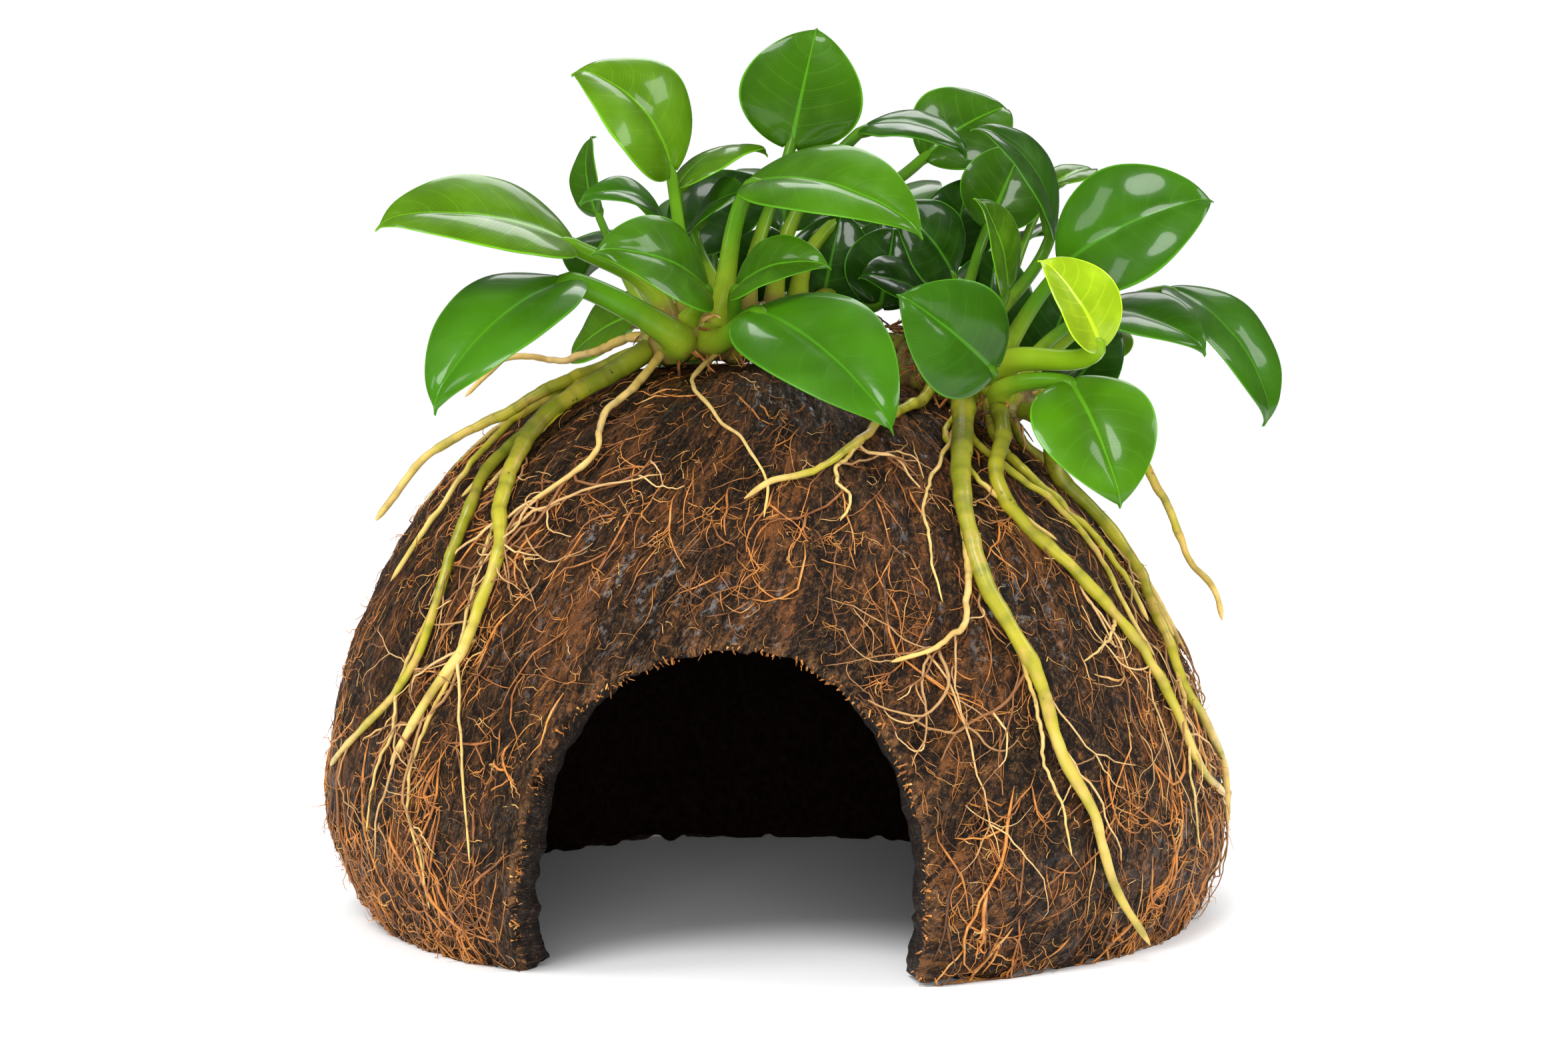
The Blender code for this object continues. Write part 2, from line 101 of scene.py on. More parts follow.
# ---- leaves ----------------------------------------------------------------------
# rhizome, place along it, angle round it (0 up, 90 to the doorway side), blade base and tip,
# width, direction the upper face looks, arch as a share of the length, cup as a share of the
# half width, tone, and the stalk's radius
Leaf = namedtuple("Leaf", "rhizome along around base tip width faces arch cup tone stalk")
LEAVES = {
    1: Leaf("left", 0.14, 5, (-15, -6, 99), (-28, -8, 112), 18,
            (0.5, -0.7, 0.6), 0.28, 0.1, "light", 1),
    2: Leaf("left", 0.02, -5, (-28, -14, 89), (-52, -24, 91.5), 17,
            (0, -0.6, 0.8), 0.14, 0.1, "light", 1.4),
    3: Leaf("left", 0.02, 95, (-28, -18, 84), (-44, -34, 68), 16,
            (-0.35, -0.75, 0.6), 0.15, 0.1, "deep", 1.9),
    4: Leaf("left", 0.1, -85, (-22, 14, 91), (-29, 24, 84), 12,
            (-0.3, 0.3, 0.9), 0.15, 0.1, "deep", 0.9),
    5: Leaf("left", 0.1, 50, (-10, -16, 83), (-24, -28, 88), 14,
            (0.15, -0.8, 0.6), 0.17, 0.1, "mid", 1.2),
    6: Leaf("left", 0.12, -45, (-17, 8, 93), (-28, 4, 95), 8,
            (0, -0.5, 0.85), 0.3, 0.1, "deep", 0.8),
    7: Leaf("left", 0.02, -60, (-26, 14, 94), (-27, 20, 105), 7,
            (-0.8, -0.4, 0.3), 0.12, 0.2, "mid", 0.7),
    8: Leaf("left", 0.24, -8, (-14, -2, 97), (-2, 6, 102), 11,
            (-0.15, -0.1, 1), 0.2, -0.2, "light", 1),
    9: Leaf("left", 0.5, 10, (1, 7, 103), (4.5, 8, 119), 17,
            (0, -1, 0.15), 0.08, 0.08, "mid", 1),
    10: Leaf("left", 0.3, 40, (-4, -10, 97), (18, -24, 90), 15.5,
             (-0.1, -0.6, 0.8), 0.17, 0.1, "mid", 1.35),
    11: Leaf("left", 0.66, 10, (11, 5, 105), (25, 0, 101), 11,
             (-0.1, -0.35, 0.95), 0.2, 0, "deep", 1),
    12: Leaf("left", 0.82, 0, (20, 18, 102), (32, 23, 109), 15,
             (0, -0.8, 0.6), 0.15, 0.1, "mid", 1),
    13: Leaf("right", 0.35, -20, (28, 8, 92), (33, 13, 103), 12,
             (0.1, -0.9, 0.4), 0.1, 0.1, "mid", 0.9),
    14: Leaf("right", 0.55, -15, (36, 0, 91), (25, -4, 105), 12.5,
             (0.75, -0.45, 0.5), 0.22, 0.1, "deep", 1),
    15: Leaf("right", 0.5, -60, (38, 16, 98), (44, 22, 100), 6,
             (0, -0.4, 0.9), 0.1, 0.1, "light", 0.7),
    16: Leaf("right", 0.78, -15, (37, -10, 86.5), (56, -14, 95), 18,
             (-0.15, -0.85, 0.5), 0.17, 0.08, "deep", 1.2),
    17: Leaf("right", 0.95, -20, (41, -8, 80), (55, -16, 75), 12,
             (0.1, -0.55, 0.85), 0.15, 0.1, "deep", 1),
    18: Leaf("right", 0.9, -60, (52, -2, 83), (64.5, -8, 65), 14.5,
             (0.6, -0.6, 0.5), 0.2, 0.1, "deep", 1),
    19: Leaf("right", 0.85, 30, (39.5, -27.5, 76), (32, -28, 87), 10.5,
             (0.5, -0.8, 0.35), 0.14, 0.35, "young", 1.6),
    20: Leaf("right", 0.65, 20, (29, -12, 83), (25, -17, 95), 9,
             (0.6, -0.6, 0.5), 0.1, 0.2, "light", 0.9),
    21: Leaf("right", 0.75, 80, (26, -28, 73), (14, -34, 82.5), 15,
             (0.1, -0.95, 0.25), 0.12, 0.1, "deep", 1),
    22: Leaf("right", 0.45, 30, (22, -10, 85), (14, -14, 94), 13,
             (0.35, -0.75, 0.5), 0.12, 0.1, "deep", 1),
    23: Leaf("right", 0.2, 20, (19, 0, 82), (10, -6, 85), 10,
             (0, -0.7, 0.7), 0.12, 0.1, "deep", 0.8),
    24: Leaf("left", 0.34, 80, (-6, -18, 83), (6, -26, 86), 10,
             (-0.15, -0.7, 0.7), 0.2, 0.2, "mid", 1.2),
    25: Leaf("left", 0.22, 100, (-3, -24, 80), (13.5, -44, 66), 17.5,
             (0.15, -0.8, 0.55), 0.13, 0.1, "deep", 1.5),
    26: Leaf("right", 0.95, 70, (36.5, -24, 71), (42, -34, 56), 16,
             (0.1, -0.85, 0.5), 0.12, 0.1, "mid", 1.25),
    27: Leaf("left", 0.22, -80, (-20, 18, 80), (-31, 28, 73), 11,
             (-0.2, -0.7, 0.6), 0.1, 0.1, "light", 0.8),
    28: Leaf("right", 0.68, -60, (44, 10, 85), (48, 16, 86), 5,
             (0, -0.6, 0.8), 0.1, 0.1, "light", 0.6),
    29: Leaf("right", 0.8, -95, (45, 10, 79), (45, 17, 73), 7,
             (0.2, -0.6, 0.8), 0.1, 0.1, "light", 0.7),
    30: Leaf("left", 0.36, 0, (-12, 2, 92), (-5, -6, 96), 9,
             (-0.3, -0.6, 0.7), 0.12, 0.1, "deep", 0.9),
    31: Leaf("left", 0.4, -60, (-10, 16, 88), (-13, 33, 97), 14,
             (-0.2, 0.6, 0.75), 0.15, 0.1, "mid", 1),
    32: Leaf("left", 0.56, -50, (0, 18, 92), (-2, 33, 100), 15,
             (0, 0.6, 0.75), 0.15, 0.1, "deep", 1),
    33: Leaf("left", 0.85, -60, (14, 20, 92), (18, 36, 98), 15,
             (0.1, 0.6, 0.75), 0.15, 0.1, "mid", 1),
    34: Leaf("right", 0.3, -60, (28, 16, 86), (40, 32, 91), 14,
             (0.3, 0.6, 0.75), 0.15, 0.1, "deep", 1),
    35: Leaf("left", 0.62, -90, (4, 24, 84), (6, 44, 72), 14,
             (0, 0.7, 0.7), 0.15, 0.1, "deep", 1),
    36: Leaf("left", 0.34, -95, (-13, 25, 82), (-15, 45, 67), 14,
             (-0.1, 0.7, 0.6), 0.15, 0.1, "deep", 1),
    37: Leaf("right", 0.2, -95, (24, 26, 80), (30, 44, 68), 14,
             (0.2, 0.7, 0.7), 0.15, 0.1, "mid", 1),
    38: Leaf("left", 0.3, -45, (-15, 14, 90), (-1, 16, 98), 13,
             (0.1, -0.8, 0.6), 0.12, 0.1, "deep", 1),
    39: Leaf("left", 0.95, -10, (14, 8, 82), (13, 10, 93), 12,
             (0.1, -0.9, 0.3), 0.12, 0.1, "deep", 1),
    40: Leaf("right", 0.1, -60, (23, 15, 87), (26, 18, 99), 11,
             (0, -0.95, 0.25), 0.12, 0.1, "deep", 1),
}

# small leaves low down among the stalks, painted at the darkest of the deep tone as painted shade
INNER_LEAVES = tuple(
    Leaf(*place, 0.12, 0.1, "deep", 0.8)
    for place in (
        ("left", 0.75, 20, (5, 4, 80), (8, 7, 94), 13, (0, -0.9, 0.4)),
        ("left", 0.95, 30, (13, 3, 81), (15, 7, 92), 12, (0.2, -0.9, 0.4)),
        ("left", 0.55, -30, (-4, 6, 82), (-2, 10, 92), 11, (-0.1, -0.9, 0.4)),
        ("right", 0.6, -20, (27, 2, 76), (29, 6, 89), 12, (0, -0.9, 0.3)),
        ("right", 0.9, -30, (34, -2, 72), (39, 2, 84), 11, (0.2, -0.9, 0.3)),
        ("right", 0.95, -75, (37, 2, 68), (46, 6, 78), 9, (0.3, -0.8, 0.4)),
    )
)
STALK_REACH = 0.36

# ---- roots -----------------------------------------------------------------------
# thickness at each end, root or rhizome that it leaves and where, points in the air, points
# on the husk as (bearing from the front in degrees, height), points in the air, and tone
Root = namedtuple("Root", "thick thin parent place leaves_rhizome on_husk in_air tone")
ROOTS = {
    1: Root(1.5, 0.5, "left", 0.0, ((-21, -13, 73),), ((-54, 66), (-49, 60), (-45, 55), (-41, 50),
            (-41, 44), (-42, 38), (-46, 33), (-52, 24)), (), "green"),
    2: Root(0.95, 0.35, 1, 0.2, (), ((-57, 60), (-53, 54), (-51, 47), (-50.5, 41), (-52, 35),
            (-57, 30), (-67, 24), (-73, 21)), (), "green"),
    3: Root(1.1, 0.45, "left", 0.02, ((-21, -6, 74), (-30, -7, 70.6), (-38, -6, 66.1), (-47, -5, 61.3),
            (-50.1, -5, 57.9), (-52, -5, 55.6), (-54.5, -5, 52.3)), (), (), "green"),
    4: Root(0.8, 0.3, "left", 0.05, ((-21, -3, 76.5), (-30, 5, 73.5), (-37, 5, 74), (-40, 5, 72),
            (-43.5, 5, 68.5)), (), (), "pale"),
    5: Root(1.0, 0.4, "left", 0.1, ((-19, 0, 74.5),), ((-100, 68), (-104, 62), (-100, 52),
            (-106, 42), (-102, 33)), (), "green"),
    6: Root(0.7, 0.3, "left", 0.05, ((-18, -17, 72),), ((-36, 66), (-31, 62), (-36, 58), (-40, 56)),
            (), "pale"),
    7: Root(0.9, 0.35, "right", 0.4, ((18, -15, 69),), ((30, 65), (19, 62), (12, 60), (4, 59),
            (-1, 57)), (), "green"),
    8: Root(1.7, 0.5, "right", 0.6, ((23, -19, 67.5),), ((39, 58), (34, 51), (33, 46), (34.5, 41),
            (36.5, 34), (36.5, 27), (39.5, 20), (42.5, 11)), ((45, -41, 2.5),), "green"),
    9: Root(0.65, 0.25, 8, 0.33, (), ((29, 43.5), (25.5, 41), (21.5, 39.5), (16.5, 38.5)),
            (), "pale"),
    10: Root(1.2, 0.45, "right", 0.85, ((28, -21, 65),), ((47, 57), (50, 50), (55, 44), (60, 38),
             (63, 30), (66, 22), (76, 17)), (), "green"),
    11: Root(1.2, 0.45, "right", 1.0, ((34, -17, 65.5),), ((74, 58), (78, 52), (76, 45), (71, 38),
             (70, 31), (76, 25), (83, 19), (81, 12)), (), "green"),
    12: Root(0.9, 0.4, "right", 0.95, ((35.5, -10, 66.5),), ((92, 58), (88, 50), (90, 42), (86, 34)),
             (), "green"),
    13: Root(0.9, 0.4, "right", 0.95, ((36, -8, 69), (44, -6, 64), (49.5, -6, 57), (52.5, -6, 51),
             (54.5, -6, 46.5), (57.5, -6, 43), (58.5, -6, 39)), (), (), "green"),
    14: Root(0.8, 0.3, "right", 0.8, ((31, -4, 68),), ((104, 62), (100, 57), (98, 52), (102, 44)),
             (), "pale"),
    15: Root(1.1, 0.4, "left", 0.2, ((-14, 6, 75),), ((-150, 67), (-145, 58), (-150, 46), (-143, 34),
             (-148, 20)), (), "green"),
    16: Root(1.0, 0.4, "left", 0.8, ((2, 10, 75),), ((174, 67), (170, 57), (178, 46), (172, 35)),
             (), "green"),
    17: Root(1.2, 0.4, "right", 0.5, ((24, 3, 70.5),), ((140, 62), (135, 52), (140, 40), (132, 28),
             (137, 14)), (), "green"),
}

# thinner roots that branch off or run between the main ones
SIDE_ROOTS = tuple(
    Root(*start, (), on_husk, (), tone)
    for start, on_husk, tone in (
        ((0.75, 0.3, "left", 0.0), ((-72, 70), (-63, 67.5), (-58, 64.5), (-57, 60), (-60, 56)), "green"),
        ((0.7, 0.3, "left", 0.02),
         ((-85, 71), (-76, 68.5), (-71, 64), (-66, 58), (-66, 51), (-69, 45)), "green"),
        ((0.6, 0.25, "left", 0.05), ((-98, 71), (-88, 68.5), (-84, 64.5), (-85, 60)), "green"),
        ((0.55, 0.25, "left", 0.0), ((-64, 71), (-58, 69), (-53, 66), (-52, 62), (-54, 57)), "green"),
        ((0.8, 0.3, "right", 0.8), ((64, 63), (62, 58), (66, 52), (69, 46), (68, 40)), "green"),
        ((0.7, 0.25, "right", 0.7), ((56, 64), (56, 59), (62, 54), (64, 48), (62, 42), (64, 36)), "green"),
        ((0.75, 0.3, "right", 0.95), ((80, 62), (84, 57), (83, 50), (79, 44), (80, 37)), "green"),
        ((0.6, 0.25, "right", 0.9), ((95, 63), (97, 57), (93, 50), (95, 43)), "green"),
        ((0.6, 0.25, "right", 0.75), ((48, 64), (45, 59), (48, 55), (54, 51)), "green"),
        ((0.35, 0.12, 1, 0.42), ((-43, 40), (-41, 34), (-39.5, 28), (-38, 21), (-37.5, 14)), "pale"),
        ((0.4, 0.12, 8, 0.12), ((31, 57), (28, 53), (26.5, 49), (26, 45)), "pale"),
        ((0.35, 0.12, 8, 0.55), ((35, 31), (34, 26), (35.5, 21), (36, 15)), "pale"),
        ((0.35, 0.12, 10, 0.5), ((58, 42), (53, 39), (50, 38), (46, 37)), "pale"),
        ((0.4, 0.15, 7, 0.55), ((16, 60), (17, 57), (14, 54.5)), "pale"),
        ((0.35, 0.12, 1, 0.75), ((-47, 27), (-48, 20), (-46, 13), (-47, 7)), "pale"),
        ((0.35, 0.12, 2, 0.5), ((-54, 34), (-53, 28), (-56, 22), (-58, 15)), "pale"),
        ((0.35, 0.12, 11, 0.6), ((68, 30), (64, 25), (62, 19), (63, 12)), "pale"),
        ((0.45, 0.15, "left", 0.5), ((-20, 71), (-8, 67), (0, 63), (3, 59), (2, 55)), "pale"),
    )
)


# ==== shapes ======================================================================
def unit(vectors):
    """The same vectors at length 1."""
    return vectors / np.maximum(np.linalg.norm(vectors, axis=-1, keepdims=True), 1e-9)


def soft_step(value, low, high):
    """0 below low, 1 above high, and a smooth rise between them."""
    share = np.clip((value - low) / (high - low), 0, 1)
    return share * share * (3 - 2 * share)


def lumps(points, seed):
    """Smooth random value from -1 to 1 at each point, with one lump to the unit."""
    cells = 32
    lattice = np.random.default_rng(seed).uniform(-1, 1, (cells, cells, cells))
    points = np.asarray(points, float)
    corner = np.floor(points).astype(int)
    part = points - corner
    part = part * part * (3 - 2 * part)
    total = 0.0
    for step in np.ndindex(2, 2, 2):
        place = [(corner[..., axis] + step[axis]) % cells for axis in range(3)]
        share = 1.0
        for axis in range(3):
            share = share * (part[..., axis] if step[axis] else 1 - part[..., axis])
        total = total + lattice[tuple(place)] * share
    return total


def smooth_route(points, count):
    """Points evenly placed along a smooth curve through the given points."""
    points = np.asarray(points, float)
    ends = np.vstack((2 * points[:1] - points[1:2], points, 2 * points[-1:] - points[-2:-1]))
    t = np.linspace(0, 1, 16, endpoint=False)[:, None]
    fine = []
    for a, b, c, d in zip(ends, ends[1:], ends[2:], ends[3:]):
        fine.append(0.5 * (
            2 * b + (c - a) * t + (2 * a - 5 * b + 4 * c - d) * t**2
            + (3 * b - a - 3 * c + d) * t**3
        ))
    fine = np.vstack(fine + [points[-1:]])
    reach = np.concatenate(([0], np.cumsum(np.linalg.norm(np.diff(fine, axis=0), axis=1))))
    wanted = np.linspace(0, reach[-1], count)
    return np.stack([np.interp(wanted, reach, fine[:, axis]) for axis in range(fine.shape[1])], -1)


def bezier(points, t):
    """Places and directions on a cubic curve."""
    a, b, c, d = (np.asarray(point, float) for point in points)
    t = np.asarray(t, float)[:, None]
    place = a * (1 - t) ** 3 + b * 3 * t * (1 - t) ** 2 + c * 3 * t**2 * (1 - t) + d * t**3
    heading = (b - a) * (1 - t) ** 2 + (c - b) * 2 * t * (1 - t) + (d - c) * t**2
    return place, unit(heading)


# ---- the husk's surface, as a turn round it and a distance down it from the crown -------
def husk_radius(height):
    """Outer radius of the shell at a height, round its leaning middle line."""
    height = np.asarray(height, float)
    drop = np.clip((BELLY_HEIGHT - height) / BELLY_HEIGHT, 0, 1)
    rise = np.clip((height - BELLY_HEIGHT) / (SHELL_HEIGHT - BELLY_HEIGHT), 0, 1)
    dome = (1 - rise**DOME_RISE_POWER) ** (1 / DOME_ROUND_POWER)
    return SHELL_RADIUS * np.where(height < BELLY_HEIGHT, 1 - RIM_TAPER * drop**2, dome)


DOORWAY_POINTS = 160
PROFILE_POINTS = 900
PROFILE_HEIGHT = SHELL_HEIGHT * (1 - np.linspace(0, 1, PROFILE_POINTS) ** 2)
PROFILE_RADIUS = husk_radius(PROFILE_HEIGHT)
PROFILE_DOWN = np.concatenate(
    ([0], np.cumsum(np.hypot(np.diff(PROFILE_HEIGHT), np.diff(PROFILE_RADIUS))))
)
PROFILE_OUT = -np.gradient(PROFILE_HEIGHT, PROFILE_DOWN)
PROFILE_UP = np.gradient(PROFILE_RADIUS, PROFILE_DOWN)
PROFILE_LEVEL = np.arctan2(PROFILE_RADIUS, PROFILE_HEIGHT)
HUSK_LENGTH = PROFILE_DOWN[-1]

DOORWAY_EDGE = smooth_route(DOORWAY, DOORWAY_POINTS)
DOORWAY_TOP = int(np.argmax(DOORWAY_EDGE[:, 1]))


def down_at(height):
    """Distance down the husk from its crown at a height."""
    return np.interp(-np.asarray(height, float), -PROFILE_HEIGHT, PROFILE_DOWN)


def height_at(down):
    """Height on the husk at a distance down it from the crown."""
    return np.interp(down, PROFILE_DOWN, PROFILE_HEIGHT)


def on_husk(turn, down, lift=0.0):
    """Points on the plain husk, lifted along its normal. A turn of 0 is the front."""
    out, up = np.interp(down, PROFILE_DOWN, PROFILE_OUT), np.interp(down, PROFILE_DOWN, PROFILE_UP)
    size = np.hypot(out, up)
    radius = np.interp(down, PROFILE_DOWN, PROFILE_RADIUS) + lift * out / size
    level = height_at(down) + lift * up / size
    return np.stack(
        (SHELL_LEAN * level + radius * np.sin(turn), -radius * np.cos(turn), level), axis=-1
    )


def in_doorway(turn, height, margin=0.0):
    """Whether places on the husk lie in the doorway, grown by a margin."""
    bearing = (np.degrees(turn) + 180) % 360 - 180
    low = height - margin
    side = np.degrees(margin / SHELL_RADIUS)
    left_edge, right_edge = DOORWAY_EDGE[: DOORWAY_TOP + 1], DOORWAY_EDGE[DOORWAY_TOP:][::-1]
    left = np.interp(low, left_edge[:, 1], left_edge[:, 0]) - side
    right = np.interp(low, right_edge[:, 1], right_edge[:, 0]) + side
    return (low < DOORWAY_EDGE[DOORWAY_TOP, 1]) & (bearing > left) & (bearing < right)


def doorway_distance(turn, height):
    """Distance in millimetres from places on the husk to the doorway's edge."""
    radius = husk_radius(height)
    nearest = np.full(np.shape(turn), 1e9)
    for bearing, level in DOORWAY_EDGE:
        gap = (turn - math.radians(bearing) + math.pi) % FULL_TURN - math.pi
        nearest = np.minimum(nearest, np.hypot(gap * radius, height - level))
    return nearest


SLANT_EVEN, SLANT_EXTRA = 0.1, 0.36
SLANT_BEARING, SLANT_SPREAD = -16, 50


def slant(turn):
    """How far sideways the coir runs for each step down: most beside the doorway."""
    bearing = (np.degrees(turn) + 180) % 360 - 180
    beside = np.exp(-(((bearing - SLANT_BEARING) / SLANT_SPREAD) ** 2))
    return SLANT_EVEN + SLANT_EXTRA * beside


def grain_place(turn, down):
    """Place in the coir's own space, where the strands run along the third axis."""
    turned = turn + slant(turn) * down / SHELL_RADIUS
    return np.stack((SHELL_RADIUS * np.cos(turned), SHELL_RADIUS * np.sin(turned), down), axis=-1)


def husk_relief(turn, down):
    """Height of the matted coir over the plain shell: waves, cords, strands and hollows."""
    grain = grain_place(turn, down)
    waves = lumps(grain / (12, 12, 17), 1)
    cords = 1 - 2 * np.abs(lumps(grain / (2.9, 2.9, 13), 2))
    strands = 1 - 2 * np.abs(lumps(grain / (1.3, 1.3, 6), 3))
    hollows = np.clip(lumps(grain / (2.6, 2.6, 4.2), 4) - 0.4, 0, 1)
    fade = np.clip(down / 20, 0.1, 1)
    return fade * (0.3 * waves + 0.4 * cords + 0.24 * strands - 1.1 * hollows)


# ---- meshes ----------------------------------------------------------------------
def store(mesh, values):
    """Keep named values on a mesh's points: single numbers or vectors."""
    for key, data in values.items():
        data = np.asarray(data, np.float32)
        if data.ndim == 2:
            mesh.attributes.new(key, "FLOAT_VECTOR", "POINT").data.foreach_set("vector", data.ravel())
        else:
            mesh.attributes.new(key, "FLOAT", "POINT").data.foreach_set("value", data)


def finish_mesh(name, verts, faces, values):
    """A smooth mesh in metres at the shell's foot, with values on its points."""
    mesh = bpy.data.meshes.new(name)
    mesh.from_pydata((np.asarray(verts) * MM + SHELL_FOOT).tolist(), [], faces)
    store(mesh, values)
    mesh.shade_smooth()
    return mesh


def ring_corners(rings, around):
    """The lower corner of each face between rings of points, and the corner beside it."""
    row = (np.arange(rings - 1) * around)[:, None]
    side = np.arange(around)
    return row + side, row + (side + 1) % around


def tubes(paths, radii, sides):
    """Points and faces of closed tubes. Every path has the same number of stations."""
    count, stations = paths.shape[:2]
    heading = unit(np.gradient(paths, axis=1))
    upright = np.where(np.abs(heading[:, :1, 2]) > 0.9, (1.0, 0.0, 0.0), (0.0, 0.0, 1.0))
    across = unit(np.cross(heading[:, 0], upright))
    turn = np.arange(sides)[:, None] * FULL_TURN / sides
    rings = []
    for station in range(stations):
        ahead = heading[:, station]
        across = unit(across - ahead * np.sum(across * ahead, axis=1, keepdims=True))
        up = np.cross(ahead, across)
        ring = across[:, None] * np.cos(turn) + up[:, None] * np.sin(turn)
        rings.append(paths[:, station, None] + ring * radii[:, station, None, None])
    verts = np.stack(rings, axis=1).reshape(-1, 3)
    start = (np.arange(count) * stations * sides)[:, None, None]
    row = (np.arange(stations - 1) * sides)[None, :, None]
    side = np.arange(sides)[None, None, :]
    low, turned = start + row + side, start + row + (side + 1) % sides
    quads = np.stack((low, turned, turned + sides, low + sides), axis=-1).reshape(-1, 4)
    first = start[:, 0] + np.arange(sides)[::-1]
    last = start[:, 0] + (stations - 1) * sides + np.arange(sides)
    return verts, quads.tolist() + first.tolist() + last.tolist()


def join(*parts):
    """One set of points, faces and stored values from several."""
    verts, faces, values = [], [], {}
    base = 0
    for part_verts, part_faces, part_values in parts:
        verts.append(part_verts)
        faces += [[base + corner for corner in face] for face in part_faces]
        for key, data in part_values.items():
            values.setdefault(key, []).append(data)
        base += len(part_verts)
    return np.vstack(verts), faces, {key: np.concatenate(data) for key, data in values.items()}


def add_piece(name, mesh, material, replaced=None):
    """Put a finished mesh in the scene as a piece of the plant."""
    mesh.materials.clear()
    mesh.materials.append(material)
    piece = bpy.data.objects.new(name, mesh)
    bpy.context.scene.collection.objects.link(piece)
    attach(piece, "root")
    if replaced:
        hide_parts(replaced)
    return piece


# ==== materials ===================================================================
FLOAT, VECTOR = "NodeSocketFloat", "NodeSocketVector"
NOISE_MIDDLE = 0.5
VEIN_PAIRS = 7.0
VEIN_SWEEP = 0.22
VEIN_CURVE = 1.4
FINE_VEINS_PER_PAIR = 6


class Nodes:
    """Adds nodes to a tree. An input that is a socket is joined, and any other is set."""

    def __init__(self, tree):
        self.tree = tree

    def add(self, kind, inputs, **settings):
        """A new node of a kind, with its inputs and its own settings."""
        node = self.tree.nodes.new(kind)
        for key, value in settings.items():
            setattr(node, key, value)
        for key, value in inputs.items():
            if isinstance(value, bpy.types.NodeSocket):
                self.tree.links.new(value, node.inputs[key])
            else:
                node.inputs[key].default_value = value
        return node

    def sum(self, operation, *values):
        """The result of one sum on the values."""
        return self.add("ShaderNodeMath", dict(enumerate(values)), operation=operation).outputs[0]

    def times(self, a, b):
        """One value multiplied by another."""
        return self.sum("MULTIPLY", a, b)

    def plus(self, a, b):
        """Two values added."""
        return self.sum("ADD", a, b)

    def less(self, a, b):
        """The first value less the second."""
        return self.sum("SUBTRACT", a, b)

    def size(self, a):
        """A value without its sign."""
        return self.sum("ABSOLUTE", a)

    def band(self, value, low, high, to_low=0.0, to_high=1.0):
        """A smooth rise from one value to another as the input goes from low to high."""
        inputs = dict(enumerate((value, low, high, to_low, to_high)))
        return self.add("ShaderNodeMapRange", inputs, interpolation_type="SMOOTHSTEP").outputs[0]

    def noise(self, place, scale, detail=3.0, roughness=0.55, stretch=(1, 1, 1), warp=0.0):
        """Smooth noise in a space that can be stretched and warped."""
        moved = self.add("ShaderNodeMapping", {0: place, 3: stretch}).outputs[0]
        inputs = {
            "Vector": moved, "Scale": scale, "Detail": detail, "Roughness": roughness,
            "Distortion": warp,
        }
        return self.add("ShaderNodeTexNoise", inputs).outputs[0]

    def mix(self, share, a, b):
        """A colour between two others."""
        inputs = {0: share, 6: a, 7: b}
        return self.add("ShaderNodeMix", inputs, data_type="RGBA", blend_type="MIX").outputs[2]

    def scaled(self, vector, factor):
        """A vector times a number."""
        inputs = {0: vector, 3: factor}
        return self.add("ShaderNodeVectorMath", inputs, operation="SCALE").outputs[0]

    def stored(self, name):
        """Values kept on a mesh's points."""
        return self.add("ShaderNodeAttribute", {}, attribute_name=name).outputs

    def split(self, vector):
        """A vector's three numbers."""
        return self.add("ShaderNodeSeparateXYZ", {0: vector}).outputs

    def place(self):
        """The place on the object."""
        return self.add("ShaderNodeTexCoord", {}).outputs["Object"]

    def group(self, tree, **inputs):
        """A node group with its inputs given by name."""
        return self.add(
            "ShaderNodeGroup", {key.replace("_", " "): value for key, value in inputs.items()},
            node_tree=tree,
        ).outputs

    def bump(self, height, strength, distance_mm):
        """A normal tilted by a fine height."""
        inputs = {"Height": height, "Strength": strength, "Distance": distance_mm * MM}
        return self.add("ShaderNodeBump", inputs).outputs[0]


def rgba(colour):
    """A colour with full cover."""
    return (*colour, 1.0)


def new_material(name, **sockets):
    """A material with its Principled shader, whose even settings are given by name."""
    material = bpy.data.materials.new(name)
    material.use_nodes = True
    shader = material.node_tree.nodes["Principled BSDF"]
    for key, value in sockets.items():
        shader.inputs[key.replace("_", " ")].default_value = value
    return material, Nodes(material.node_tree), shader


def drive(nodes, shader, **sockets):
    """Join varying values to the shader's sockets."""
    for key, value in sockets.items():
        nodes.tree.links.new(value, shader.inputs[key.replace("_", " ")])


def new_group(name, inputs, outputs):
    """A shader node group with its inputs, ready for its outputs to be joined."""
    tree = bpy.data.node_groups.new(name, "ShaderNodeTree")
    for socket, (kind, default) in inputs.items():
        made = tree.interface.new_socket(name=socket, in_out="INPUT", socket_type=kind)
        if default is not None:
            made.default_value = default
    for socket in outputs:
        tree.interface.new_socket(name=socket, in_out="OUTPUT", socket_type=FLOAT)
    nodes = Nodes(tree)
    return tree, nodes, nodes.add("NodeGroupInput", {}).outputs, nodes.add("NodeGroupOutput", {})


def give(tree, leave, **values):
    """Join a group's values to its outputs, and hand back the finished group."""
    for key, value in values.items():
        tree.links.new(value, leave.inputs[key.replace("_", " ")])
    return tree


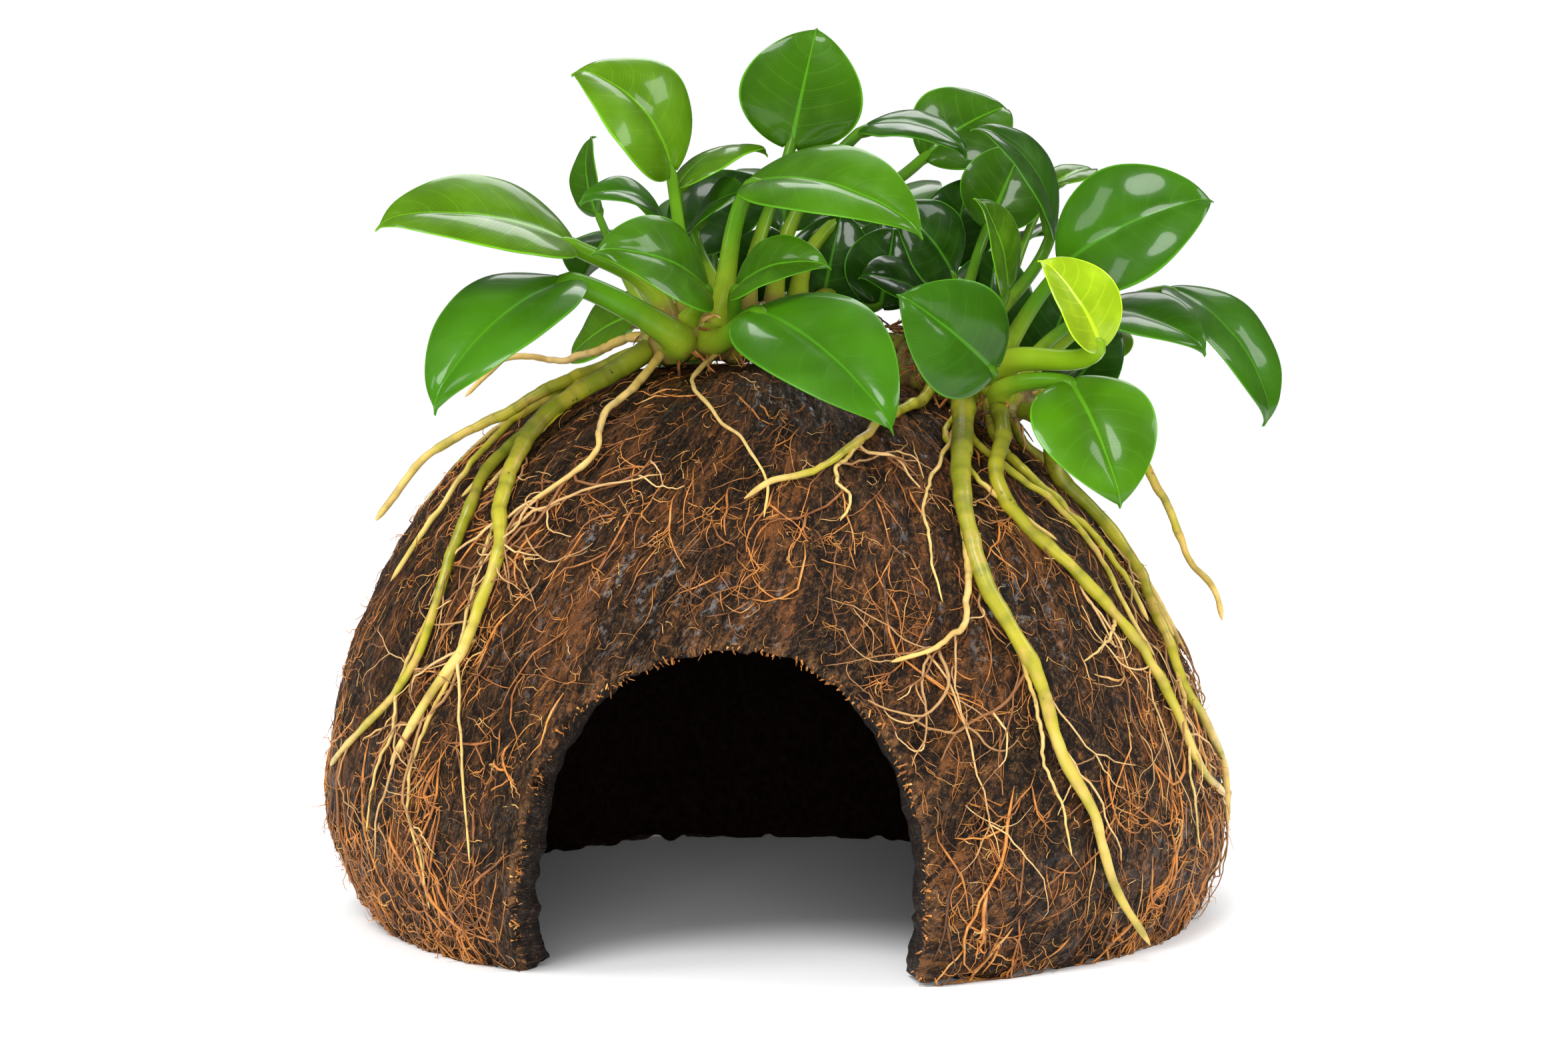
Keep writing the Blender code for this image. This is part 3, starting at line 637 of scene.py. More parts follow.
def coir_grain():
    """Matted coir: a streak value, wrinkles, short curled specks and a height."""
    name = "Coir Grain"
    if name in bpy.data.node_groups:
        return bpy.data.node_groups[name]
    tree, nodes, given, leave = new_group(
        name, {"Place": (VECTOR, None), "Fineness": (FLOAT, 1.0)},
        ("Streak", "Speck", "Wrinkle", "Height"),
    )
    place = nodes.scaled(given["Place"], given["Fineness"])
    cords = nodes.noise(place, 1.0, 4.0, 0.65, (0.75, 0.75, 0.2), 0.8)
    crumbs = nodes.noise(place, 1.0, 4.0, 0.75, (1.5, 1.5, 1.0), 0.8)
    threads = nodes.noise(place, 1.0, 2.0, 0.5, (1.5, 1.5, 0.55), 1.6)
    curls = nodes.noise(place, 1.0, 2.0, 0.5, (2.1, 2.1, 1.6), 2.5)
    streak = nodes.plus(nodes.times(cords, 0.5), nodes.times(crumbs, 0.5))
    line = nodes.band(nodes.size(nodes.less(threads, NOISE_MIDDLE)), 0.0, 0.022, 1.0, 0.0)
    curl = nodes.band(nodes.size(nodes.less(curls, NOISE_MIDDLE)), 0.0, 0.024, 1.0, 0.0)
    broken = nodes.band(crumbs, 0.48, 0.6)
    speck = nodes.times(nodes.sum("MAXIMUM", line, nodes.times(curl, 0.8)), broken)
    folds = nodes.noise(place, 1.0, 3.0, 0.7, (2.4, 2.4, 1.5), 1.2)
    wrinkle = nodes.size(nodes.less(folds, NOISE_MIDDLE))
    height = nodes.plus(streak, nodes.times(speck, 0.3))
    height = nodes.less(height, nodes.times(nodes.band(wrinkle, 0.0, 0.09, 1.0, 0.0), 0.3))
    return give(tree, leave, Streak=streak, Speck=speck, Wrinkle=wrinkle, Height=height)


def leaf_veins():
    """Masks over a blade: midrib, side veins, fine veins between them and pale margin."""
    name = "Leaf Veins"
    if name in bpy.data.node_groups:
        return bpy.data.node_groups[name]
    tree, nodes, given, leave = new_group(
        name, {"Place": (VECTOR, None), "Pairs": (FLOAT, VEIN_PAIRS)},
        ("Midrib", "Side Veins", "Fine Veins", "Margin"),
    )
    across, along, across_mm = (nodes.split(given["Place"])[axis] for axis in range(3))
    side = nodes.size(across)
    half_rib = nodes.band(along, 0.0, 1.0, 0.38, 0.08)
    midrib = nodes.band(nodes.sum("DIVIDE", nodes.size(across_mm), half_rib), 0.35, 1.1, 1.0, 0.0)
    sweep = nodes.times(nodes.sum("POWER", side, VEIN_CURVE), VEIN_SWEEP)
    phase = nodes.times(nodes.less(along, sweep), given["Pairs"])
    wave = nodes.sum("COSINE", nodes.times(phase, FULL_TURN))
    side_veins = nodes.times(nodes.band(wave, 0.8, 1.0), nodes.band(side, 0.55, 1.0, 1.0, 0.0))
    ripple = nodes.sum("COSINE", nodes.times(phase, FINE_VEINS_PER_PAIR * FULL_TURN))
    fine_veins = nodes.band(ripple, 0.0, 1.0)
    margin = nodes.band(side, 0.955, 0.985)
    return give(
        tree, leave, Midrib=midrib, Side_Veins=side_veins, Fine_Veins=fine_veins, Margin=margin
    )


def plant_skin():
    """Living skin: soft mottling, sparse dark specks and a fine grained height."""
    name = "Plant Skin"
    if name in bpy.data.node_groups:
        return bpy.data.node_groups[name]
    tree, nodes, given, leave = new_group(
        name, {"Place": (VECTOR, None), "Fineness": (FLOAT, 1.0)}, ("Mottle", "Speck", "Height")
    )
    place = nodes.scaled(given["Place"], given["Fineness"])
    mottle = nodes.noise(place, 240.0, 3.0, 0.5)
    cells = nodes.add("ShaderNodeTexVoronoi", {"Vector": place, "Scale": 700.0}).outputs["Distance"]
    dots = nodes.band(cells, 0.1, 0.26, 1.0, 0.0)
    speck = nodes.times(dots, nodes.band(nodes.noise(place, 330.0, 1.0), 0.54, 0.62))
    grain = nodes.noise(place, 1700.0, 2.0, 0.6)
    height = nodes.plus(nodes.times(mottle, 0.7), nodes.times(grain, 0.3))
    for socket, value in (("Mottle", mottle), ("Speck", speck), ("Height", height)):
        tree.links.new(value, leave.inputs[socket])
    return tree


def husk_material(look):
    """Weathered husk: dark wrinkled coir outside with painted shade in its hollows and creases, sawn edge
    round the doorway, dark inside.
    """
    material, nodes, shader = new_material("Coconut husk", Specular_IOR_Level=0.25, Coat_Roughness=0.18)
    grain = nodes.stored("grain")["Vector"]
    coir = nodes.group(coir_grain(), Place=grain, Fineness=look.fineness)
    relief, wall, edge = (nodes.stored(key)["Fac"] for key in ("relief", "wall", "edge"))
    patches = nodes.noise(grain, 0.11, 3.0, 0.6, (1, 1, 0.5))
    # lit is the coir's own streak tone plus its relief: the sunken hollows of the relief turn darker as
    # painted shade, while raised cords turn rustier, which is their own colour
    lit = nodes.plus(coir["Streak"], nodes.times(relief, 0.07))
    lit = nodes.plus(lit, nodes.band(patches, 0.35, 0.7, -0.045, 0.05))
    dark = nodes.mix(nodes.band(lit, 0.4, 0.52), rgba(look.hollow_shade_and_dark_pith), rgba(look.bark))
    # painted shade: the creases of the wrinkles are darkened towards the near-black hollow colour
    dark = nodes.mix(nodes.band(coir["Wrinkle"], 0.0, 0.08, 0.85, 0.0), dark, rgba(look.hollow_shade_and_dark_pith))
    rusty = nodes.mix(nodes.band(lit, 0.51, 0.64), dark, rgba(look.rust))
    fibre = nodes.mix(nodes.band(patches, 0.4, 0.62), rgba(look.straw), rgba(look.orange))
    pale = nodes.mix(nodes.times(coir["Speck"], 0.7), rusty, fibre)
    rim_share = nodes.times(edge, nodes.band(coir["Streak"], 0.44, 0.6))
    outside = nodes.mix(nodes.times(rim_share, 0.5), pale, rgba(look.cut_edge))
    place = nodes.place()
    pith = nodes.noise(place, 900.0, 4.0, 0.7)
    crumbs = nodes.band(nodes.noise(place, 2300.0, 2.0, 0.6), 0.6, 0.7)
    # the same near-black colour gives the darkest pith of the sawn wall and the inner wall
    sawn = nodes.mix(nodes.band(pith, 0.35, 0.7), rgba(look.hollow_shade_and_dark_pith), rgba(look.sawn))
    sawn = nodes.mix(nodes.times(crumbs, 0.55), sawn, rgba(look.cut_edge))
    inside = nodes.mix(nodes.band(pith, 0.3, 0.8), rgba(look.hollow_shade_and_dark_pith), rgba(look.inside))
    walls = nodes.mix(nodes.band(wall, 0.9, 1.0), sawn, inside)
    colour = nodes.mix(nodes.band(wall, 0.02, 0.1), outside, walls)
    roughness = nodes.band(coir["Streak"], 0.4, 0.64, 0.72, 0.46)
    wet = nodes.band(nodes.noise(grain, 0.8, 4.0, 0.7), 0.5, 0.62)
    wet = nodes.times(wet, nodes.band(wall, 0.0, 0.1, 0.3, 0.0))
    height = nodes.plus(coir["Height"], nodes.times(pith, 0.35))
    drive(nodes, shader, Base_Color=colour, Roughness=roughness, Coat_Weight=wet,
          Normal=nodes.bump(height, 1.0, 1.1))
    return material


def coir_material(look):
    """Loose coir: each strand has its own tint from dark bark through rust to straw."""
    material, nodes, shader = new_material(
        "Loose coir", Specular_IOR_Level=0.5, Subsurface_Weight=0.15, Subsurface_Scale=0.0006,
        Subsurface_Radius=(1.0, 0.4, 0.1),
    )
    tint = nodes.stored("tint")["Fac"]
    stain = nodes.noise(nodes.place(), 520.0, 3.0, 0.6)
    tint = nodes.plus(tint, nodes.band(stain, 0.3, 0.7, -0.16, 0.16))
    dark = nodes.mix(nodes.band(tint, 0.0, 0.36), rgba(look.bark), rgba(look.rust))
    mid = nodes.mix(nodes.band(tint, 0.32, 0.62), dark, rgba(look.orange))
    colour = nodes.mix(nodes.band(tint, 0.62, 0.95), mid, rgba(look.straw))
    roughness = nodes.band(stain, 0.3, 0.7, 0.3, 0.55)
    drive(nodes, shader, Base_Color=colour, Roughness=roughness, Normal=nodes.bump(stain, 0.6, 0.2))
    return material


def leaf_material(name, colour, look):
    """Glossy wet leaf: soft mottling, faint veins, pale margin, and a stalk in its own green."""
    material, nodes, shader = new_material(
        name, Coat_Roughness=look.gloss_roughness, Coat_IOR=1.45, Specular_IOR_Level=0.1,
        Subsurface_Weight=look.translucency, Subsurface_Scale=0.0012,
        Subsurface_Radius=(0.5, 1.0, 0.15),
    )
    blade = nodes.stored("blade")["Vector"]
    stalk, under, foot = (nodes.split(nodes.stored("part")["Vector"])[axis] for axis in range(3))
    veins = nodes.group(leaf_veins(), Place=blade, Pairs=look.vein_pairs)
    skin = nodes.group(plant_skin(), Place=nodes.place(), Fineness=1.0)
    broad = nodes.noise(nodes.place(), 75.0, 2.0, 0.5)
    # painted shade and age: each leaf's green runs from 0.36 times its tone, the painted shade of leaves
    # deep in the clump, to a fresher green for young leaves
    age_and_shade = nodes.stored("age_and_shade")["Fac"]
    own = nodes.mix(age_and_shade, rgba([channel * 0.36 for channel in colour]),
                    rgba([channel * grow for channel, grow in zip(colour, (1.9, 1.5, 1.3))]))
    darker = nodes.scaled(own, 0.6)
    lighter = rgba([min(1.0, channel * grow + 0.01) for channel, grow in zip(colour, (2.2, 1.6, 1.6))])
    paler = rgba([min(1.0, channel * 2.2 + extra) for channel, extra in zip(colour, (0.03, 0.06, 0.008))])
    tone = nodes.mix(nodes.band(broad, 0.3, 0.72), darker, own)
    tone = nodes.mix(nodes.band(skin["Mottle"], 0.4, 0.9, 0.0, 0.3), tone, lighter)
    between = nodes.times(veins["Fine Veins"], 0.07)
    tone = nodes.mix(nodes.plus(between, nodes.times(veins["Side Veins"], 0.09)), tone, lighter)
    tone = nodes.mix(nodes.times(veins["Midrib"], 0.42), tone, paler)
    tone = nodes.mix(nodes.times(veins["Margin"], 0.5), tone, paler)
    tone = nodes.mix(nodes.times(under, 0.4), tone, lighter)
    green = nodes.mix(0.5, own, rgba(look.stalk))
    stem = nodes.mix(nodes.band(foot, 0.3, 0.95), green, rgba(look.stalk_foot))
    stem = nodes.mix(nodes.band(skin["Mottle"], 0.4, 0.8, 0.0, 0.5), stem, darker)
    scraps = nodes.times(nodes.band(foot, 0.8, 0.97), nodes.band(broad, 0.47, 0.55))
    stem = nodes.mix(nodes.times(scraps, 0.8), stem, rgba(look.dry_scrap))
    colour_out = nodes.mix(stalk, tone, stem)
    blade_height = nodes.times(veins["Side Veins"], -0.3)
    blade_height = nodes.plus(blade_height, nodes.times(veins["Fine Veins"], 0.06))
    height = nodes.plus(blade_height, nodes.times(skin["Height"], 0.3))
    roughness = nodes.band(skin["Mottle"], 0.3, 0.8, look.gloss_roughness + 0.2, look.gloss_roughness + 0.34)
    coat = nodes.less(0.36, nodes.times(stalk, 0.2))
    drive(
        nodes, shader, Base_Color=colour_out, Roughness=roughness, Coat_Weight=coat,
        Normal=nodes.bump(height, 0.2, 0.12),
    )
    return material


def root_material(name, start, middle, look):
    """Living root: its own colour at the start, another midway and cream at the tip."""
    material, nodes, shader = new_material(
        name, Specular_IOR_Level=0.35, Coat_Weight=0.15, Coat_Roughness=0.2
    )
    reach = nodes.stored("reach")["Fac"]
    skin = nodes.group(plant_skin(), Place=nodes.place(), Fineness=1.3)
    patch = nodes.band(nodes.noise(nodes.place(), 120.0, 2.0, 0.5), 0.3, 0.7, -0.16, 0.16)
    stage = nodes.plus(reach, patch)
    colour = nodes.mix(nodes.band(stage, 0.08, 0.5), rgba(start), rgba(middle))
    colour = nodes.mix(nodes.band(stage, 0.62, 0.98), colour, rgba(look.root_tip))
    rubbed = nodes.band(nodes.noise(nodes.place(), 210.0, 3.0, 0.6), 0.52, 0.66)
    worn = nodes.times(rubbed, nodes.band(reach, 0.15, 0.6, 0.1, 0.6))
    colour = nodes.mix(worn, colour, rgba(look.root_rubbed))
    shade = rgba([channel * 0.45 for channel in start])
    colour = nodes.mix(nodes.band(skin["Mottle"], 0.42, 0.8, 0.0, 0.5), colour, shade)
    scar = nodes.times(nodes.stored("scar")["Fac"], nodes.band(stage, 0.3, 0.9, 0.4, 0.15))
    colour = nodes.mix(scar, colour, shade)
    specks = nodes.times(skin["Speck"], nodes.band(reach, 0.2, 0.8, 0.8, 0.3))
    colour = nodes.mix(specks, colour, rgba(look.root_speck))
    roughness = nodes.band(skin["Mottle"], 0.3, 0.8, 0.32, 0.5)
    drive(
        nodes, shader, Base_Color=colour, Roughness=roughness,
        Normal=nodes.bump(skin["Height"], 0.5, 0.2),
    )
    return material


def rhizome_material(look):
    """Creeping stem: yellow green, ringed by leaf scars, with brown dried skin in patches."""
    material, nodes, shader = new_material(
        "Rhizome", Specular_IOR_Level=0.5, Coat_Weight=0.3, Coat_Roughness=0.2
    )
    skin = nodes.group(plant_skin(), Place=nodes.place(), Fineness=0.8)
    scar = nodes.stored("scar")["Fac"]
    dried = nodes.band(nodes.noise(nodes.place(), 190.0, 4.0, 0.65), 0.5, 0.62)
    colour = nodes.mix(nodes.band(skin["Mottle"], 0.3, 0.8), rgba(look.rhizome), rgba(look.rhizome_light))
    colour = nodes.mix(nodes.times(scar, 0.8), colour, rgba(look.dried_skin))
    colour = nodes.mix(nodes.times(dried, 0.85), colour, rgba(look.dried_skin))
    height = nodes.plus(skin["Height"], nodes.times(dried, 0.6))
    roughness = nodes.band(dried, 0.0, 1.0, 0.3, 0.65)
    drive(nodes, shader, Base_Color=colour, Roughness=roughness, Normal=nodes.bump(height, 0.7, 0.35))
    return material


# ==== the husk ====================================================================
SEGMENTS = 440
OUTER_STEP = 0.92
INNER_STEP = 2.6
RIM_STEPS = 6
INNER_SCALE = (SHELL_RADIUS - SHELL_WALL) / SHELL_RADIUS
INNER_HEIGHT_SCALE = (SHELL_HEIGHT - SHELL_WALL) / SHELL_HEIGHT


def shell_before_cutting():
    """The closed shell as rings, from the inner crown to the rim and up the outside."""
    outer = np.linspace(HUSK_LENGTH, OUTER_STEP, int(HUSK_LENGTH / OUTER_STEP))
    inner = np.linspace(INNER_STEP, HUSK_LENGTH, int(HUSK_LENGTH / INNER_STEP))
    section = [(np.interp(d, PROFILE_DOWN, PROFILE_RADIUS) * INNER_SCALE,
                height_at(d) * INNER_HEIGHT_SCALE) for d in inner]
    rim = husk_radius(0)
    for step in range(1, RIM_STEPS):
        section.append((rim * (INNER_SCALE + (1 - INNER_SCALE) * step / RIM_STEPS), 0.0))
    section += [(np.interp(d, PROFILE_DOWN, PROFILE_RADIUS), height_at(d)) for d in outer]
    section = np.array(section)
    turn = np.arange(SEGMENTS) * FULL_TURN / SEGMENTS
    radius, height = section[:, :1], section[:, 1:]
    rings = np.stack((
        SHELL_LEAN * height + radius * np.sin(turn), -radius * np.cos(turn),
        height + 0 * turn,
    ), axis=-1)
    crowns = [
        (SHELL_LEAN * top, 0, top) for top in (SHELL_HEIGHT * INNER_HEIGHT_SCALE, SHELL_HEIGHT)
    ]
    verts = np.vstack((rings.reshape(-1, 3), crowns))
    low, turned = ring_corners(len(section), SEGMENTS)
    faces = np.stack((low, turned, turned + SEGMENTS, low + SEGMENTS), -1).reshape(-1, 4).tolist()
    last = (len(section) - 1) * SEGMENTS
    for side in range(SEGMENTS):
        beside = (side + 1) % SEGMENTS
        faces.append((beside, side, len(verts) - 2))
        faces.append((last + side, last + beside, len(verts) - 1))
    return verts, faces


def doorway_cutter():
    """A wedge with the doorway's slightly ragged outline, finely stepped through the wall."""
    reaches = np.concatenate(([25, 40], np.arange(44, 63, 0.8), [80]))
    spot = DOORWAY_EDGE[:, [0, 1, 1]]
    edge = DOORWAY_EDGE + np.stack((0.45 * lumps(spot / 2.2, 8), 0.3 * lumps(spot / 1.7, 9)), -1)
    turn, height = np.radians(edge[:, 0]), edge[:, 1]
    rings = [
        np.stack((SHELL_LEAN * height + reach * np.sin(turn), -reach * np.cos(turn), height), -1)
        for reach in reaches
    ]
    count = len(edge)
    low, beside = ring_corners(len(rings), count)
    quads = np.stack((low, low + count, beside + count, beside), -1).reshape(-1, 4).tolist()
    last = (len(rings) - 1) * count
    return np.vstack(rings), quads + [list(range(count)), [last + k for k in range(count)][::-1]]


def cut_doorway(verts, faces):
    """The shell's points and faces after its doorway is cut out."""
    solids = []
    for name, (points, sides) in (("shell", (verts, faces)), ("cutter", doorway_cutter())):
        mesh = bpy.data.meshes.new(name)
        mesh.from_pydata(points.tolist(), [], sides)
        solid = bpy.data.objects.new(name, mesh)
        bpy.context.scene.collection.objects.link(solid)
        solids.append(solid)
    shell, cutter = solids
    cut = shell.modifiers.new("Doorway", "BOOLEAN")
    cut.operation = "DIFFERENCE"
    cut.solver = "MANIFOLD"
    cut.object = cutter
    graph = bpy.context.evaluated_depsgraph_get()
    result = bpy.data.meshes.new_from_object(shell.evaluated_get(graph))
    for solid in solids:
        mesh = solid.data
        bpy.data.objects.remove(solid)
        bpy.data.meshes.remove(mesh)
    if len(result.vertices) < len(verts) // 2:
        raise RuntimeError("the doorway could not be cut")
    return result


def husk_mesh(roughness):
    """The shell with its doorway, roughened by the matted coir."""
    mesh = cut_doorway(*shell_before_cutting())
    count = len(mesh.vertices)
    places, normals = np.empty(count * 3), np.empty(count * 3)
    mesh.vertices.foreach_get("co", places)
    mesh.vertices.foreach_get("normal", normals)
    places, normals = places.reshape(-1, 3), normals.reshape(-1, 3)
    height = places[:, 2]
    sideways, forward = places[:, 0] - SHELL_LEAN * height, -places[:, 1]
    radius, turn = np.hypot(sideways, forward), np.arctan2(sideways, forward)
    down = np.interp(np.arctan2(radius, height), PROFILE_LEVEL, PROFILE_DOWN)
    outer = np.hypot(radius, height) / np.hypot(
        np.interp(down, PROFILE_DOWN, PROFILE_RADIUS), height_at(down)
    )
    wall = soft_step(1 - outer, 0.004, 0.08)
    relief = husk_relief(turn, down)
    ragged = 0.3 * lumps(places / 1.6, 5) + 0.18 * lumps(places / 0.8, 6)
    swell = np.where(outer > 0.995, relief * roughness, ragged)
    low_fade = np.clip(height / 1.2, 0.15, 1)
    places = places + normals * (swell * low_fade)[:, None]
    ragged_rim = 1.3 * np.clip(lumps(places / 2.4, 7) + 0.1, 0, 1) * np.clip(1 - height / 4, 0, 1)
    places[:, 2] = np.maximum(places[:, 2], 0) + ragged_rim
    mesh.vertices.foreach_set("co", (places * MM + SHELL_FOOT).ravel())
    nearness = 1 - soft_step(doorway_distance(turn, height), 0.3, 2.2)
    store(mesh, {
        "grain": grain_place(turn, down), "relief": relief, "wall": wall, "edge": nearness,
    })
    mesh.shade_smooth()
    mesh.update()
    return mesh


# ==== loose coir ==================================================================
COIR_STATIONS = 8
HAIR_STATIONS = 5
FUZZ_STATIONS = 6
FRINGE_STATIONS = 5
ROOTLET_STATIONS = 14
SCRAP_STATIONS = 7
COIR_ARCH = (-0.15, 0.3)
COIR_SIDES = 3
NET_SIDES = 4
NET_FORKS = 4
ROOTLET_SIDES = 5
ROOTLET_FORKS = 2

# forking cords: how many, their bearings in degrees, their heights, tint and radii
COIR_NETS = (
    (44, (-80, -30), (5, 30), 0.44, (0.13, 0.32)),
    (40, (-50, 20), (38, 66), 0.4, (0.1, 0.24)),
    (36, (17, 70), (4, 26), 0.44, (0.13, 0.32)),
    (26, (10, 70), (26, 60), 0.42, (0.1, 0.24)),
    (80, (70, 280), (5, 62), 0.46, (0.12, 0.3)),
)


def creep(rng, turn, down, heading, length, wander, stations):
    """Routes that creep over the husk. A heading of 0 is straight down."""
    turns, downs = [turn], [down]
    step = length / (stations - 1)
    bend = rng.normal(0, 1, len(turn)) * wander * 0.5
    for _ in range(stations - 1):
        heading = heading + bend + rng.normal(0, 1, len(turn)) * wander
        radius = np.maximum(np.interp(down, PROFILE_DOWN, PROFILE_RADIUS), 9)
        turn = turn + np.sin(heading) * step / radius
        down = np.clip(down + np.cos(heading) * step, 1.5, HUSK_LENGTH - 0.2)
        turns.append(turn)
        downs.append(down)
    return np.stack(turns, 1), np.stack(downs, 1)


def over_coir(turns, downs, lift):
    """Points over the matted coir, lifted from its own uneven surface."""
    return on_husk(turns, downs, husk_relief(turns, downs) + lift)


def arches(rng, low, high, count, stations):
    """How far each of some routes rises in its middle, by station."""
    return np.sin(np.linspace(0, math.pi, stations)) * rng.uniform(low, high, (count, 1))


def tints(rng, middle, spread, count):
    """Random shares from 0, dark, to 1, pale."""
    return np.clip(rng.normal(middle, spread, count), 0, 1)


def taper(count, stations, radius, tip=0.35, start=1.0):
    """A radius for each station of each tube, thinner towards the tip and the start."""
    share = np.linspace(0, 1, stations)
    swell = start + (1 - start) * soft_step(share, -0.05, 0.3)
    return np.broadcast_to(np.asarray(radius, float).reshape(-1, 1), (count, 1)) * (
        swell * (1 - (1 - tip) * share**1.5)
    )


def clear_of_doorway(turns, downs, margin=0.2):
    """Which routes stay out of the doorway all the way."""
    return ~in_doorway(turns, height_at(downs), margin).any(axis=1)


def scatter(rng, count, weight):
    """Random places on the husk, thinned by a weight from 0 to 1 at each place."""
    turn = rng.uniform(-math.pi, math.pi, count)
    down = HUSK_LENGTH * np.sqrt(rng.uniform(0.0004, 1, count))
    keep = rng.uniform(0, 1, count) < weight(turn, down)
    return turn[keep], down[keep]


def tube_piece(name, groups, sides, material):
    """One piece made of groups of tubes, each group with its own station count."""
    parts = []
    for paths, radii, tint in groups:
        verts, faces = tubes(paths, radii, sides)
        verts[:, 2] = np.maximum(verts[:, 2], 0.02)
        per_point = paths.shape[1] * sides
        parts.append((verts, faces, {"tint": np.repeat(tint, per_point)}))
    verts, faces, values = join(*parts)
    return add_piece(name, finish_mesh(name, verts, faces, values), material)


def laid_strands(rng, count):
    """Strands that lie along the matted coir, gathered into tufts, half sunk in it."""
    turn, down = scatter(rng, count, lambda t, d: 0.15 + 0.85 * soft_step(
        lumps(grain_place(t, d) / (4, 4, 8), 11), -0.1, 0.5
    ))
    heading = -np.arctan(slant(turn)) + rng.normal(0, 0.3, len(turn))
    length = rng.gamma(3.0, 2.0, len(turn)) + 1.5
    turns, downs = creep(rng, turn, down, heading, length, 0.2, COIR_STATIONS)
    keep = clear_of_doorway(turns, downs)
    turns, downs = turns[keep], downs[keep]
    arch = arches(rng, *COIR_ARCH, len(turns), COIR_STATIONS)
    paths = over_coir(turns, downs, arch)
    tint = np.clip(0.28 + 0.3 * lumps(grain_place(turns[:, 0], downs[:, 0]) / (6, 6, 10), 12)
                   + rng.normal(0, 0.2, len(turns)), 0, 1)
    thick = 0.07 + 0.25 * rng.beta(1.3, 5.0, len(paths))
    return paths, taper(len(paths), COIR_STATIONS, thick, 0.2, 0.25), tint


def curly_hair(rng, count):
    """Short curled hairs all over, close to the husk."""
    turn, down = scatter(rng, count, lambda t, d: 0.45 + 0.55 * soft_step(
        lumps(grain_place(t, d) / 7, 13), -0.3, 0.5
    ))
    heading = rng.uniform(-math.pi, math.pi, len(turn))
    turns, downs = creep(rng, turn, down, heading, rng.uniform(0.8, 3.6, len(turn)), 0.6, HAIR_STATIONS)
    keep = clear_of_doorway(turns, downs, 0.0)
    turns, downs = turns[keep], downs[keep]
    stand = np.linspace(0, 1, HAIR_STATIONS) ** 1.3 * rng.gamma(1.2, 0.22, (len(turns), 1))
    paths = on_husk(turns, downs, husk_relief(turns, downs) + 0.03 + np.minimum(stand, 1.4))
    tint = tints(rng, 0.42, 0.28, len(turns))
    return paths, taper(len(paths), HAIR_STATIONS, rng.uniform(0.04, 0.08, len(paths))), tint


def standing_fuzz(rng, count):
    """Hairs that stand off the husk and curl, seen against the light."""
    turn, down = scatter(rng, count, lambda t, d: 0.2 + 0.8 * soft_step(d / HUSK_LENGTH, 0.35, 0.9))
    turns, downs = creep(
        rng, turn, down, rng.normal(0, 1.0, len(turn)), rng.uniform(1.2, 5, len(turn)), 0.5,
        FUZZ_STATIONS,
    )
    keep = clear_of_doorway(turns, downs, 0.3)
    turns, downs = turns[keep], downs[keep]
    stand = np.linspace(0, 1, FUZZ_STATIONS) * rng.uniform(0.3, 2.2, (len(turns), 1))
    paths = over_coir(turns, downs, stand)
    paths += 0.25 * rng.normal(0, 1, paths.shape) * np.linspace(0, 1, FUZZ_STATIONS)[:, None]
    tint = tints(rng, 0.5, 0.15, len(turns))
    return paths, taper(len(paths), FUZZ_STATIONS, rng.uniform(0.05, 0.11, len(paths)), 0.3), tint


def doorway_fringe(rng, count):
    """Crumbs and broken cord ends that stick out in clumps round the doorway's edge."""
    clumps = rng.integers(6, len(DOORWAY_EDGE) - 6, max(1, count // 5))
    pick = np.clip(rng.choice(clumps, count) + rng.integers(-3, 4, count), 4, len(DOORWAY_EDGE) - 5)
    bearing, height = DOORWAY_EDGE[pick].T
    ahead = np.gradient(DOORWAY_EDGE, axis=0)[pick]
    inward = unit(np.stack((ahead[:, 1], -ahead[:, 0] * math.radians(SHELL_RADIUS)), -1))
    lean = rng.normal(0, 0.9, (count, 1))
    way = unit(inward + lean * inward[:, ::-1] * (1, -1))
    length = 0.05 + rng.gamma(1.5, 0.15, count)
    share = np.linspace(-1.2, 1, FRINGE_STATIONS)
    turns = np.radians(bearing)[:, None] + (way[:, :1] * length[:, None] * share) / SHELL_RADIUS
    heights = height[:, None] + way[:, 1:] * length[:, None] * share
    lift = rng.uniform(-1.6, 0.2, (count, 1)) + share * rng.normal(0, 0.25, (count, 1))
    paths = on_husk(turns, down_at(np.maximum(heights, 0.1)), lift)
    tint = tints(rng, 0.45, 0.2, count)
    return paths, taper(count, FRINGE_STATIONS, rng.uniform(0.08, 0.22, count), 0.4), tint


